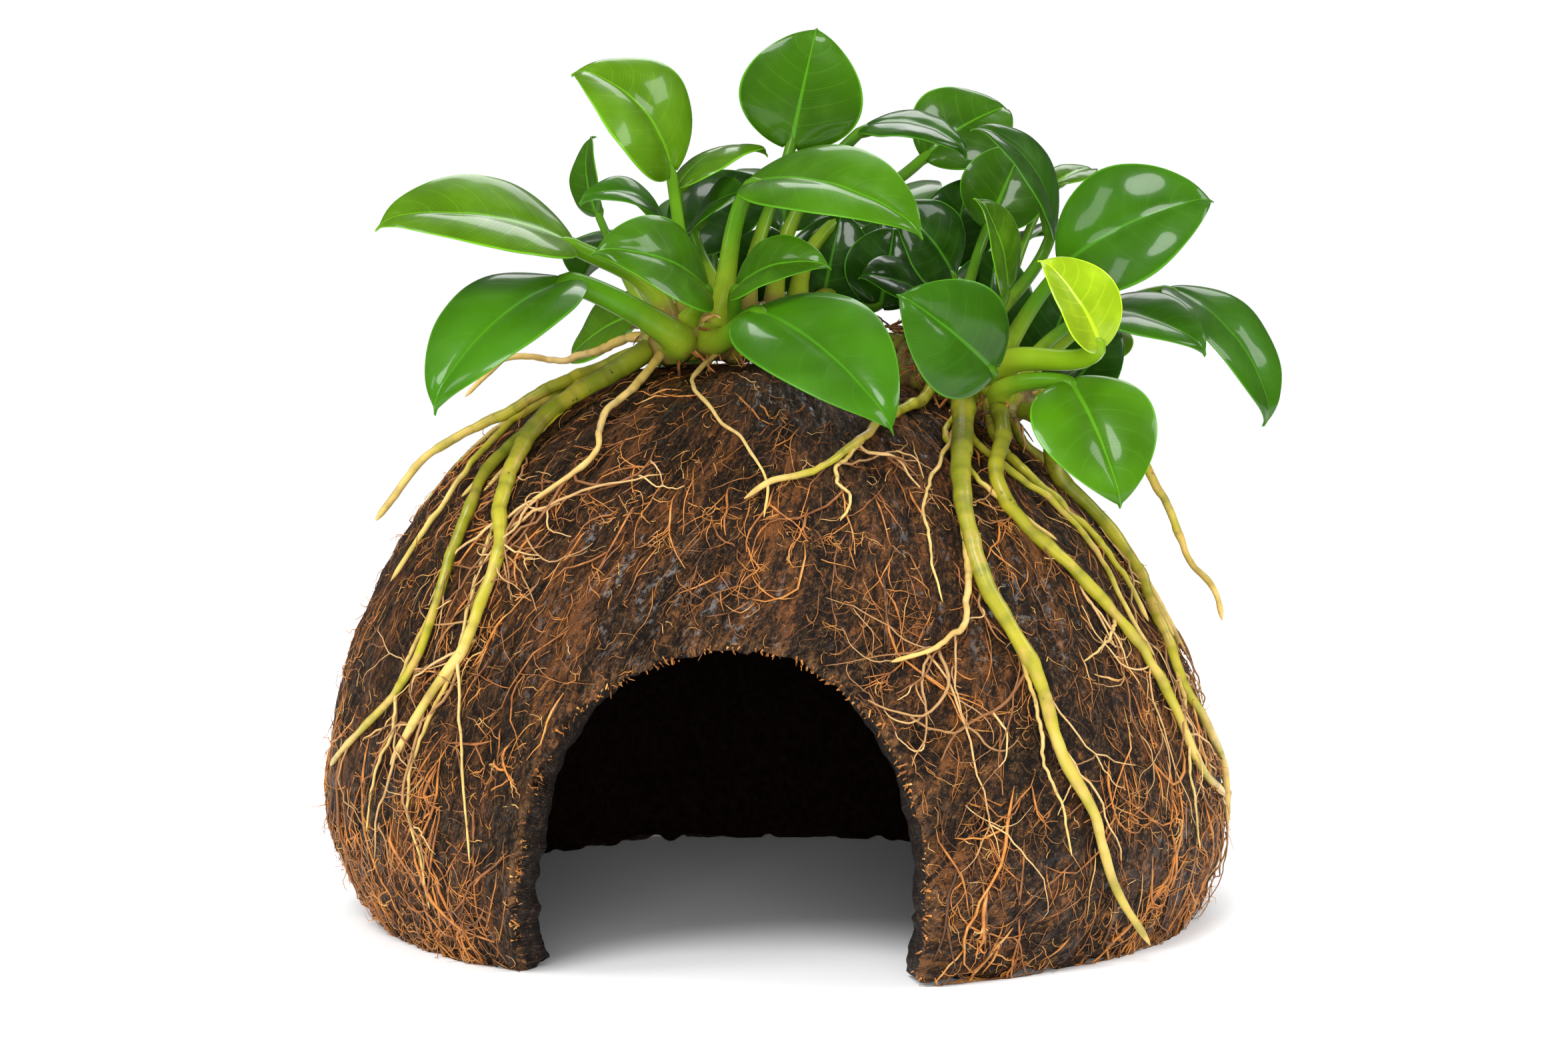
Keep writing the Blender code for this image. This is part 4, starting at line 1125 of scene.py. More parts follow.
def branching_coir(rng, count, bearings, heights, tint_middle, thick):
    """Cords that fork as they run down, half sunk in the husk, in one part of it."""
    groups = []
    turn = np.radians(rng.uniform(*bearings, count))
    down = down_at(rng.uniform(*heights, count))
    heading = -np.arctan(slant(turn)) + rng.normal(0, 0.35, count)
    length, radius = rng.uniform(6, 20, count), rng.uniform(*thick, count)
    tint_of = tints(rng, tint_middle, 0.15, count)
    for level in range(NET_FORKS):
        turns, downs = creep(rng, turn, down, heading, length, 0.18 + 0.07 * level, COIR_STATIONS)
        keep = clear_of_doorway(turns, downs, 0.4)
        arch = arches(rng, *COIR_ARCH, len(turns), COIR_STATIONS) * (1 + level * 0.5)
        lift = radius[:, None] * (0.2 + 0.2 * level) + arch
        paths = over_coir(turns, downs, lift)[keep]
        start = 0.15 if level == 0 else 0.9
        radii = taper(len(paths), COIR_STATIONS, radius[keep], 0.4, start)
        groups.append((paths, radii, tint_of[keep]))
        pick = np.repeat(np.flatnonzero(keep), 2)
        station = rng.integers(2, 7, len(pick))
        turn, down = turns[pick, station], downs[pick, station]
        fork = rng.choice((-1, 1), len(pick)) * rng.uniform(0.3, 1.2, len(pick))
        heading = heading[pick] * 0.5 + fork
        length = length[pick] * rng.uniform(0.3, 0.75, len(pick))
        radius = radius[pick] * rng.uniform(0.45, 0.75, len(pick))
        tint_of = np.clip(tint_of[pick] + rng.normal(0.04, 0.07, len(pick)), 0, 1)
    return groups


# ==== plant =======================================================================
RHIZOME_STATIONS = 90
RHIZOME_SIDES = 36
ROOT_STATIONS = 110
PARENT_STATIONS = 60
ROOT_SIDES = 12


def rhizome_axes(side):
    """Start, end, direction, and the front and upward directions of a rhizome."""
    start, end = (np.array(point, float) for point in RHIZOMES[side][:2])
    along = unit(end - start)
    front = unit(np.array((along[1], -along[0], 0)))
    upward = np.cross(front, along)
    return start, end, along, front, upward if upward[2] > 0 else -upward


def rhizome_mesh(side, seed):
    """A lumpy creeping stem with ring scars, knobs and blunt ends."""
    start, end, along, front, upward = rhizome_axes(side)
    stations, sides = RHIZOME_STATIONS, RHIZOME_SIDES
    share = np.linspace(-0.12, 1.12, stations)
    turn = np.arange(sides) * FULL_TURN / sides
    rng = np.random.default_rng(seed)
    scars = np.cumsum(rng.uniform(2.2, 3.6, 12)) / np.linalg.norm(end - start) - 0.15
    scar = np.exp(-(((share[:, None] - scars) / 0.012) ** 2)).max(axis=1)
    ends = np.sqrt(np.clip(1 - np.abs((share - 0.5) / 0.63) ** 6, 0.002, 1))
    middle = start + (end - start) * share[:, None] + 0.5 * lumps(
        np.stack((share * 5, share * 0 + seed, share * 0), -1), 21)[:, None] * upward
    spoke = np.cos(turn)[:, None] * front + np.sin(turn)[:, None] * upward
    rough = middle[:, None] + spoke * RHIZOMES[side].radius
    swell = 1 + 0.12 * lumps(rough / 3.2, 22) + 0.05 * lumps(rough / 1.1, 23) - 0.09 * scar[:, None]
    radius = RHIZOMES[side].radius * ends[:, None] * swell
    verts = (middle[:, None] + spoke * radius[..., None]).reshape(-1, 3)
    low, beside = ring_corners(stations, sides)
    faces = np.stack((low, low + sides, beside + sides, beside), -1).reshape(-1, 4)
    if np.dot(np.cross(front, upward), along) > 0:
        faces = faces[:, ::-1]
    ends_faces = [list(range(sides)), list(range((stations - 1) * sides, stations * sides))[::-1]]
    if np.dot(np.cross(front, upward), along) > 0:
        ends_faces = [face[::-1] for face in ends_faces]
    return finish_mesh("rhizome_" + side, verts, faces.tolist() + ends_faces,
                       {"scar": np.repeat(scar, sides)})


# ---- leaves ----------------------------------------------------------------------
WIDEST_AT = 0.38
TIP_POWER = 0.85
BLADE_ROWS = 40
BLADE_COLUMNS = 21
STALK_SIDES = 10
# how dark each leaf's green is painted, from 0, its darkest, to 1, its freshest: partly the leaf's age,
# partly painted shade for leaves in the middle of the clump, such as 22, 23, 38 to 40 and the inner leaves
DEFAULT_AGE_AND_SHADE = 0.3
LEAF_AGES_AND_SHADE = {
    1: 0.6, 2: 0.5, 3: 1.0, 5: 0.5, 6: 0.9, 8: 0.2, 10: 0.6, 16: 0.9, 17: 0.6, 18: 0.6, 20: 0.1,
    21: 0.5, 22: 0.0, 23: 0.0, 25: 1.0, 26: 0.7, 38: 0.0, 39: 0.0, 40: 0.0,
}


def blade_outline(share):
    """Half width of a blade, 0 to 1: round at the base, with a short drawn-out tip."""
    base_power = TIP_POWER * WIDEST_AT / (1 - WIDEST_AT)
    body_share = np.clip(share / 0.975, 0, 1)
    body = (body_share / WIDEST_AT) ** base_power * ((1 - body_share) / (1 - WIDEST_AT)) ** TIP_POWER
    tip = 0.13 * np.clip((1 - share) / 0.13, 0, 1) ** 0.9
    return np.clip(np.maximum(body, np.where(share > 0.8, tip, 0)), 0.006, None)


def leaf_midrib(leaf):
    """The midrib's cubic curve, and the direction that the upper face looks."""
    base, tip, upper = (np.array(place, float) for place in (leaf.base, leaf.tip, leaf.faces))
    chord = tip - base
    upper = unit(upper - chord * np.dot(upper, chord) / np.dot(chord, chord))
    rise = upper * leaf.arch * np.linalg.norm(chord)
    return (base, base + chord * 0.33 + rise, base + chord * 0.7 + rise, tip), upper


def leaf_stalk(leaf, heading):
    """The stalk's cubic curve, from inside the rhizome to the base of the blade."""
    start, end, _, front, upward = rhizome_axes(leaf.rhizome)
    angle = math.radians(leaf.around)
    launch = upward * math.cos(angle) + front * math.sin(angle)
    surface = start + (end - start) * leaf.along + launch * RHIZOMES[leaf.rhizome].radius
    base = np.array(leaf.base, float)
    span = np.linalg.norm(base - surface)
    arrive = unit((base - surface) / span + heading)
    return (surface - launch * 1.4, surface + launch * span * STALK_REACH,
            base - arrive * span * STALK_REACH, base)


def leaf_age_and_shade(number):
    """A share from 0, the darkest of its tone, to 1, the freshest: the leaf's age, with painted shade for
    leaves deep in the clump.
    """
    return LEAF_AGES_AND_SHADE.get(number, DEFAULT_AGE_AND_SHADE)


def blade_shape(leaf, number):
    """Points, faces and stored values of one blade, closed round its margin."""
    midrib, upper = leaf_midrib(leaf)
    share = 0.5 - 0.5 * np.cos(math.pi * np.linspace(0.035, 0.985, BLADE_ROWS))
    place, heading = bezier(midrib, share)
    across = unit(np.cross(heading, upper))
    up = np.cross(across, heading)
    span = np.linalg.norm(midrib[3] - midrib[0])
    half = leaf.width / 2 * blade_outline(share)
    edge = np.sin(np.linspace(-1, 1, BLADE_COLUMNS) * math.pi / 2)
    side = np.abs(edge)
    s, u, h = share[:, None], edge[None, :], half[:, None]
    waves = np.stack((s * 4 + 0 * u, u * 1.2 + 0 * s, 0 * s + 0 * u + number * 3.7), -1)
    wavy = 0.35 * lumps(waves, 31)
    phase = (s - VEIN_SWEEP * np.abs(u) ** VEIN_CURVE) * VEIN_PAIRS
    lift = leaf.cup * h * np.abs(u) ** 1.6
    lift = lift + 0.075 * h * (1 - np.abs(2 * np.abs(u) - 0.95) ** 2)
    lift = lift - 0.2 * np.exp(-((u * h / 0.55) ** 2)) * (1 - s) ** 0.5
    lift = lift + 0.012 * np.cos(2 * math.pi * phase + math.pi) * np.sin(np.abs(u) * math.pi)
    lift = lift + wavy * np.abs(u) ** 2
    ripples = np.stack((s * 8 + 0 * u, u * 2.6 + 0 * s, 0 * s + 0 * u + number * 2.9), -1)
    lift = lift + 0.1 * lumps(ripples, 32) * np.minimum(h / 5, 1)
    lift = lift - min(1.5, 0.06 * span) * np.clip((s - 0.86) / 0.14, 0, 1) ** 2
    lobes = 0.055 * span * np.abs(u) ** 1.6 * np.exp(-s / 0.09)
    middle = (
        place[:, None] + across[:, None] * (u * h)[..., None] + up[:, None] * lift[..., None]
        - heading[:, None] * lobes[..., None]
    )
    thickness = 0.24 * np.sqrt(np.clip(1 - side**6, 0.06, 1)) * (0.6 + 0.4 * (1 - share[:, None]))
    skin = up[:, None] * thickness[..., None]
    top, bottom = middle + skin, middle - skin
    loop = np.concatenate((top, bottom[:, ::-1]), axis=1)
    around = 2 * BLADE_COLUMNS
    low, beside = ring_corners(BLADE_ROWS, around)
    faces = np.stack((low, beside, beside + around, low + around), -1).reshape(-1, 4).tolist()
    last = (BLADE_ROWS - 1) * around
    for column in range(BLADE_COLUMNS - 1):
        near, far = around - 1 - column, around - 2 - column
        faces.append((near, far, column + 1, column))
        faces.append((last + column, last + column + 1, last + far, last + near))
    edge_loop = np.concatenate((edge, edge[::-1]))
    across_mm = edge_loop[None] * half[:, None]
    blade = np.stack(np.broadcast_arrays(edge_loop[None], share[:, None], across_mm), -1)
    under = np.concatenate((np.zeros(BLADE_COLUMNS), np.ones(BLADE_COLUMNS)))
    part = np.stack(np.broadcast_arrays(0 * share[:, None], under[None], 0 * share[:, None]), -1)
    values = {"blade": blade.reshape(-1, 3), "part": part.reshape(-1, 3)}
    values["age_and_shade"] = np.full(around * BLADE_ROWS, leaf_age_and_shade(number))
    return loop.reshape(-1, 3), faces, values


def stalk_shape(leaf, number):
    """The stalk with its sheathing foot, running on as the rib under the blade."""
    midrib, upper = leaf_midrib(leaf)
    stalk = leaf_stalk(leaf, bezier(midrib, [0])[1][0])
    up_share, rib_share = np.linspace(0, 1, 26)[:-1], np.linspace(0, 0.9, 20)
    rise, _ = bezier(stalk, up_share)
    rib, rib_heading = bezier(midrib, rib_share)
    rib_up = np.cross(unit(np.cross(rib_heading, upper)), rib_heading)
    rib_radius = leaf.stalk * 0.62 * (1 - rib_share) ** 0.9 + 0.1
    rib_drop = rib_radius * soft_step(rib_share, -0.02, 0.12) * 0.85 + 0.42 * (1 - rib_share) ** 0.5
    path = np.vstack((rise, rib - rib_up * rib_drop[:, None]))
    stem_radius = leaf.stalk * (0.78 + 0.35 * (1 - up_share) ** 1.4 + 0.75 * np.exp(-up_share / 0.1))
    radii = np.concatenate((stem_radius, rib_radius * (0.8 + 0.45 * np.exp(-rib_share / 0.06))))
    verts, faces = tubes(path[None], radii[None], STALK_SIDES)
    foot = np.concatenate((1 - up_share, 0 * rib_share))
    is_stalk = np.concatenate((up_share * 0 + 1, 1 - soft_step(rib_share, 0, 0.35) * 0.4))
    part = np.stack((is_stalk, is_stalk * 0, foot), -1)
    blade = np.stack((is_stalk * 0 + 0.5, is_stalk * 0 + 0.5, is_stalk * 0 + 3), -1)
    return verts, faces, {
        "blade": np.repeat(blade, STALK_SIDES, axis=0), "part": np.repeat(part, STALK_SIDES, axis=0),
        "age_and_shade": np.full(len(verts), leaf_age_and_shade(number)),
    }


# ---- roots -----------------------------------------------------------------------
def root_start(root):
    """Where a root begins: inside its rhizome, or inside the root that it branches from."""
    if root.parent in RHIZOMES:
        start, end = (np.array(point, float) for point in RHIZOMES[root.parent][:2])
        return start + (end - start) * root.place
    line = root_centres(ROOTS[root.parent], PARENT_STATIONS)
    return line[round(root.place * (PARENT_STATIONS - 1))]


def root_centres(root, stations):
    """A root's middle line: through the air, down over the husk, and into the air again."""
    knots = [root_start(root)] + [np.array(point, float) for point in root.leaves_rhizome]
    for index, (bearing, height) in enumerate(root.on_husk):
        radius = root.thick + (root.thin - root.thick) * index / len(root.on_husk)
        turn, down = math.radians(bearing), down_at(height)
        knots.append(on_husk(turn, down, radius * 0.8 + 0.45))
    knots += [np.array(point, float) for point in root.in_air]
    return smooth_route(np.array(knots), stations)


def root_shape(root, number):
    """A root with ringed knuckles and a slight wander, thinner towards its tip."""
    stations, sides = ROOT_STATIONS, ROOT_SIDES
    line = root_centres(root, stations)
    share = np.linspace(0, 1, stations)
    spot = np.stack((share * 14, share * 0 + number * 2.3, share * 0), -1)
    wander = np.stack([lumps(spot, 41 + axis) for axis in range(3)], -1)
    quiver = np.stack([lumps(spot * 2.6, 51 + axis) for axis in range(3)], -1)
    line = line + (0.28 * wander + 0.12 * quiver) * np.sin(math.pi * share)[:, None]
    length = np.linalg.norm(np.diff(line, axis=0), axis=1).sum()
    rng = np.random.default_rng(number)
    rings = np.cumsum(rng.uniform(1.6, 5.2, 40)) / length
    scar = np.exp(-(((share[:, None] - rings) * length / 0.3) ** 2)).max(axis=1)
    knob = np.exp(-(((share[:, None] - rings[::2]) * length / 0.75) ** 2)).max(axis=1)
    knuckles = 1 + 0.11 * lumps(spot * 1.9, 45) + 0.06 * lumps(spot * 5, 46) + 0.12 * knob - 0.06 * scar
    radii = (root.thick + (root.thin - root.thick) * share**0.8) * knuckles
    radii = radii * np.sqrt(np.clip((1 - share) / 0.03, 0.03, 1))
    verts, faces = tubes(line[None], radii[None], sides)
    verts[:, 2] = np.maximum(verts[:, 2], 0.1)
    return verts, faces, {"reach": np.repeat(share, sides), "scar": np.repeat(scar, sides)}


def side_rootlets(rng, count):
    """Thin rootlets that leave the roots and creep down over the coir."""
    groups = []
    names = [key for key, root in ROOTS.items() if len(root.on_husk) > 3]
    turn, down, radius = [], [], []
    for _ in range(count):
        root = ROOTS[names[rng.integers(len(names))]]
        bearing, height = smooth_route(root.on_husk, 60)[rng.integers(2, 56)]
        turn.append(math.radians(bearing))
        down.append(down_at(height))
        radius.append(rng.uniform(0.11, 0.26))
    turn, down, radius = np.array(turn), np.array(down), np.array(radius)
    heading = rng.normal(0, 0.7, count)
    length = rng.uniform(7, 26, count)
    for _ in range(ROOTLET_FORKS):
        turns, downs = creep(rng, turn, down, heading, length, 0.2, ROOTLET_STATIONS)
        keep = clear_of_doorway(turns, downs, 0.4)
        lift = 0.3 + arches(rng, 0, 1.1, len(turns), ROOTLET_STATIONS)
        paths = over_coir(turns, downs, lift)[keep]
        groups.append((paths, taper(len(paths), ROOTLET_STATIONS, radius[keep], 0.4),
                       tints(rng, 0.5, 0.25, len(paths))))
        pick = np.repeat(np.flatnonzero(keep), 2)
        station = rng.integers(4, 12, len(pick))
        turn, down = turns[pick, station], downs[pick, station]
        heading = rng.choice((-1, 1), len(pick)) * rng.uniform(0.3, 1.1, len(pick))
        length, radius = length[pick] * rng.uniform(0.25, 0.6, len(pick)), radius[pick] * 0.65
    return groups


def sheath_scraps(rng, count):
    """Brown scraps of old leaf sheaths and dead rootlets that hang about the rhizomes."""
    paths = []
    share = np.linspace(0, 1, SCRAP_STATIONS)[:, None]
    for side in RHIZOMES:
        start, end, along, front, upward = rhizome_axes(side)
        for _ in range(count):
            angle = rng.uniform(-2.6, 2.6)
            out = upward * math.cos(angle) + front * math.sin(angle)
            foot = start + (end - start) * rng.uniform(-0.1, 1.1) + out * RHIZOMES[side].radius * 0.85
            way = unit(out + along * rng.normal(0, 0.8) + np.array((0, 0, -0.4)))
            length = rng.uniform(1.2, 5.5)
            droop = np.array((0, 0, -0.25 * length)) * share**2
            bend = np.cumsum(rng.normal(0, 0.16, (SCRAP_STATIONS, 3)), axis=0) * share
            paths.append(foot + way * length * share + droop + bend)
    paths = np.array(paths)
    radius = rng.uniform(0.08, 0.32, len(paths))
    return paths, taper(len(paths), SCRAP_STATIONS, radius, 0.3), tints(rng, 0.42, 0.22, len(paths))


def rootlet_material(look):
    """Fine rootlets, straw to rusty brown."""
    material, nodes, shader = new_material("Rootlets", Specular_IOR_Level=0.45)
    tint = nodes.stored("tint")["Fac"]
    skin = nodes.group(plant_skin(), Place=nodes.place(), Fineness=1.8)
    colour = nodes.mix(nodes.band(tint, 0.2, 0.85), rgba(look.rootlet_dark), rgba(look.rootlet_light))
    colour = nodes.mix(nodes.band(skin["Mottle"], 0.45, 0.8, 0.0, 0.5), colour, rgba(look.rootlet_dark))
    drive(nodes, shader, Base_Color=colour, Roughness=nodes.band(skin["Mottle"], 0.3, 0.8, 0.4, 0.6),
          Normal=nodes.bump(skin["Height"], 0.4, 0.1))
    return material


# ==== settings ====================================================================
def colour_setting(name, description, default):
    """A colour in the panel."""
    return FloatVectorProperty(
        name=name, description=description, default=default, subtype="COLOR", size=3, min=0, max=1
    )


class AnubiasHuskSettings(bpy.types.PropertyGroup):
    relief: FloatProperty(
        name="Relief", description="Height of the matted coir over the shell", default=0.0010,
        min=0, max=0.002, subtype="DISTANCE", unit="LENGTH",
    )
    fineness: FloatProperty(
        name="Fineness", description="How fine the coir's grain is", default=1.0, min=0.3, max=3
    )
    strands: IntProperty(name="Strands", description="Strands laid along the coir", default=6200, min=0)
    hairs: IntProperty(name="Hairs", description="Short curled hairs", default=7000, min=0)
    fuzz: IntProperty(name="Fuzz", description="Hairs that stand off the husk", default=1000, min=0)
    fringe: IntProperty(name="Fringe", description="Coir ends round the doorway", default=420, min=0)
    seed: IntProperty(name="Seed", description="Choice of random coir", default=7)
    # painted shade deep between the strands and in the creases; also the darkest pith of the sawn and inner
    # walls
    hollow_shade_and_dark_pith: colour_setting("Hollows", "Colour deep between the strands", (0.007, 0.003, 0.0014))
    bark: colour_setting("Bark", "Main colour of the husk", (0.056, 0.024, 0.009))
    rust: colour_setting("Rust", "Colour of the raised strands", (0.24, 0.085, 0.022))
    orange: colour_setting("Orange", "Colour of the fresh loose strands", (0.46, 0.17, 0.03))
    straw: colour_setting("Straw", "Colour of the palest strands", (0.6, 0.35, 0.12))
    cut_edge: colour_setting("Cut Edge", "Colour of coir cut at the doorway", (0.30, 0.14, 0.05))
    sawn: colour_setting("Sawn Wall", "Colour of the sawn wall", (0.045, 0.028, 0.018))
    inside: colour_setting("Inside", "Colour of the inner wall", (0.022, 0.011, 0.007))


class AnubiasLeafSettings(bpy.types.PropertyGroup):
    vein_pairs: FloatProperty(
        name="Vein Pairs", description="Pairs of side veins in a leaf", default=VEIN_PAIRS, min=1, max=20
    )
    gloss_roughness: FloatProperty(
        name="Gloss Roughness", description="Roughness of the wet surface", default=0.09, min=0, max=1,
        subtype="FACTOR",
    )
    translucency: FloatProperty(
        name="Translucency", description="Light scattered in a blade", default=0.12, min=0, max=1,
        subtype="FACTOR",
    )
    deep: colour_setting("Deep Leaves", "Oldest, darkest leaves", (0.020, 0.095, 0.002))
    mid: colour_setting("Middle Leaves", "Full-grown leaves", (0.034, 0.135, 0.002))
    light: colour_setting("Light Leaves", "Newer leaves", (0.064, 0.195, 0.003))
    young: colour_setting("Young Leaf", "The newest leaf", (0.27, 0.50, 0.008))
    stalk: colour_setting("Stalk", "Stalks near the blade", (0.085, 0.22, 0.008))
    stalk_foot: colour_setting("Stalk Foot", "Stalks at the rhizome", (0.22, 0.29, 0.015))
    dry_scrap: colour_setting("Dry Scraps", "Brown scraps of old sheaths at the foot", (0.16, 0.08, 0.03))


class AnubiasRootSettings(bpy.types.PropertyGroup):
    rootlets: IntProperty(
        name="Rootlets", description="Thin rootlets that leave the roots", default=110, min=0
    )
    scraps: IntProperty(name="Scraps", description="Old scraps on each rhizome", default=150, min=0)
    rhizome: colour_setting("Rhizome", "Colour of the creeping stems", (0.16, 0.15, 0.015))
    rhizome_light: colour_setting("Rhizome Light", "Fresh parts of the stems", (0.30, 0.28, 0.035))
    dried_skin: colour_setting("Dried Skin", "Brown scales on the stems", (0.13, 0.065, 0.025))
    root_green: colour_setting("Green Root", "Start of a green root", (0.14, 0.165, 0.008))
    root_pale: colour_setting("Pale Root", "Start of a pale root", (0.44, 0.30, 0.06))
    root_middle: colour_setting("Root Middle", "Green roots midway", (0.34, 0.30, 0.018))
    root_pale_middle: colour_setting("Pale Root Middle", "Pale roots midway", (0.52, 0.36, 0.12))
    root_tip: colour_setting("Root Tip", "Tips of the roots", (0.60, 0.41, 0.12))
    root_rubbed: colour_setting("Rubbed Root", "Tan patches on the roots", (0.50, 0.30, 0.09))
    root_speck: colour_setting("Root Speck", "Dark specks on the roots", (0.04, 0.03, 0.012))
    rootlet_dark: colour_setting("Rootlet Dark", "Older rootlets", (0.20, 0.08, 0.025))
    rootlet_light: colour_setting("Rootlet Light", "Newer rootlets", (0.60, 0.38, 0.15))


class AnubiasStageSettings(bpy.types.PropertyGroup):
    camera_distance: FloatProperty(
        name="Camera Distance", description="From the middle of the shell's foot", default=0.42, min=0.1,
        unit="LENGTH",
    )
    camera_height_angle: FloatProperty(
        name="Camera Height", description="Angle of the camera over the floor", default=math.radians(11.1),
        subtype="ANGLE", unit="ROTATION",
    )
    camera_pitch: FloatProperty(
        name="Camera Pitch", description="How far the camera looks down", default=math.radians(4.05),
        subtype="ANGLE", unit="ROTATION",
    )
    lens: FloatProperty(name="Lens", description="Focal length in millimetres", default=70.2, min=10)
    sun: FloatProperty(name="Sun", description="Strength of the broad main light", default=1.9, min=0)
    softboxes: FloatProperty(
        name="Softboxes", description="Strength of the softboxes", default=0.7, min=0
    )
    surround: FloatProperty(
        name="Surround", description="Strength of the pale surround", default=0.75, min=0
    )
    surround_gloss: FloatProperty(
        name="Surround Gloss", description="Strength of the surround in reflections", default=0.08, min=0
    )
    floor_reach: FloatProperty(
        name="Floor Reach", description="Radius at which the floor has faded out", default=0.8, min=0.2,
        unit="LENGTH",
    )
    floor: colour_setting("Floor", "Colour of the floor", (0.93, 0.93, 0.93))


# ==== operators ===================================================================
class ANUBIAS_OT_husk(bpy.types.Operator):
    """Make the coconut husk with its doorway"""

    bl_idname = "anubias.husk"
    bl_label = "Coconut Husk"

    def execute(self, context):
        look = context.scene.anubias_husk
        mesh = husk_mesh(look.relief / MM)
        add_piece("coir_husk", mesh, husk_material(look), "coconut_shell")
        return {"FINISHED"}


class ANUBIAS_OT_coir(bpy.types.Operator):
    """Lay loose coir over the husk and round its doorway"""

    bl_idname = "anubias.coir"
    bl_label = "Loose Coir"

    def execute(self, context):
        look = context.scene.anubias_husk
        rng = np.random.default_rng(look.seed)
        material = coir_material(look)
        for name, shape, count in (
            ("coir_strands", laid_strands, look.strands),
            ("coir_hair", curly_hair, look.hairs),
            ("coir_fuzz", standing_fuzz, look.fuzz),
            ("coir_doorway_fringe", doorway_fringe, look.fringe),
        ):
            tube_piece(name, [shape(rng, count)], COIR_SIDES, material)
        nets = [group for net in COIR_NETS for group in branching_coir(rng, *net)]
        tube_piece("coir_nets", nets, NET_SIDES, material)
        return {"FINISHED"}


class ANUBIAS_OT_rhizomes(bpy.types.Operator):
    """Make the two creeping stems"""

    bl_idname = "anubias.rhizomes"
    bl_label = "Rhizomes"

    def execute(self, context):
        material = rhizome_material(context.scene.anubias_roots)
        for seed, side in enumerate(RHIZOMES):
            name = "rhizome_" + side
            add_piece("creeping_stem_" + side, rhizome_mesh(side, seed + 1), material, name)
        return {"FINISHED"}


class ANUBIAS_OT_leaves(bpy.types.Operator):
    """Make the leaves, each with its stalk"""

    bl_idname = "anubias.leaves"
    bl_label = "Leaves"

    def execute(self, context):
        look = context.scene.anubias_leaves
        tones = {
            tone: leaf_material("Leaf " + tone, tuple(getattr(look, tone)), look)
            for tone in ("deep", "mid", "light", "young")
        }
        inner = [join(blade_shape(leaf, 38), stalk_shape(leaf, 38)) for leaf in INNER_LEAVES]
        add_piece("inner_leaves", finish_mesh("inner_leaves", *join(*inner)), tones["deep"])
        for number, leaf in LEAVES.items():
            verts, faces, values = join(blade_shape(leaf, number), stalk_shape(leaf, number))
            name = f"leaf_{number:02d}"
            mesh = finish_mesh(name, verts, faces, values)
            add_piece("grown_" + name, mesh, tones[leaf.tone], name)
        return {"FINISHED"}


class ANUBIAS_OT_roots(bpy.types.Operator):
    """Make the roots that run down over the husk"""

    bl_idname = "anubias.roots"
    bl_label = "Roots"

    def execute(self, context):
        look = context.scene.anubias_roots
        tones = {
            "green": root_material("Root green", look.root_green, look.root_middle, look),
            "pale": root_material("Root pale", look.root_pale, look.root_pale_middle, look),
        }
        for number, root in ROOTS.items():
            name = f"root_{number:02d}"
            mesh = finish_mesh(name, *root_shape(root, number))
            add_piece("grown_" + name, mesh, tones[root.tone], name)
        return {"FINISHED"}


class ANUBIAS_OT_rootlets(bpy.types.Operator):
    """Add the thinner roots, and rootlets that creep from the roots over the coir"""

    bl_idname = "anubias.rootlets"
    bl_label = "Rootlets"

    def execute(self, context):
        look = context.scene.anubias_roots
        for tone, middle in (("green", look.root_middle), ("pale", look.root_pale_middle)):
            shapes = [root_shape(root, number + 50) for number, root in enumerate(SIDE_ROOTS)
                      if root.tone == tone]
            mesh = finish_mesh("side_roots_" + tone, *join(*shapes))
            material = root_material("Side root " + tone, getattr(look, "root_" + tone), middle, look)
            add_piece("side_roots_" + tone, mesh, material)
        rng = np.random.default_rng(context.scene.anubias_husk.seed + 1)
        tube_piece("rootlets", side_rootlets(rng, look.rootlets), ROOTLET_SIDES,
                   rootlet_material(look))
        scraps = sheath_scraps(rng, look.scraps)
        dry = coir_material(context.scene.anubias_husk)
        tube_piece("sheath_scraps", [scraps], ROOTLET_SIDES, dry)
        return {"FINISHED"}


class ANUBIAS_OT_stage(bpy.types.Operator):
    """Set the pale floor, the soft studio light and the camera"""

    bl_idname = "anubias.stage"
    bl_label = "Studio Stage"

    def execute(self, context):
        look = context.scene.anubias_stage
        add_floor(look)
        add_surround(context.scene, look)
        add_lights(look)
        add_camera(context.scene, look)
        context.scene.view_settings.view_transform = "Standard"
        return {"FINISHED"}


# ==== stage =======================================================================
SUN_SPREAD = math.radians(22)
SUN_TILT = (math.radians(38), 0, math.radians(-24))
AIM_HEIGHT = 0.06
SENSOR_WIDTH = 36

# name, place and size in metres, and power before the panel's setting
SOFTBOXES = (
    ("softbox_left", (-0.62, -0.3, 0.5), (0.22, 0.4), 2.6),
    ("softbox_right", (0.6, -0.1, 0.55), (0.3, 0.3), 3.4),
    ("softbox_back", (0.1, 0.5, 0.62), (0.5, 0.25), 3.0),
    ("low_fill", (0.0, -0.6, 0.08), (0.5, 0.12), 4.4),
)


def link_new(name, data):
    """A new object in the scene."""
    made = bpy.data.objects.new(name, data)
    bpy.context.scene.collection.objects.link(made)
    return made


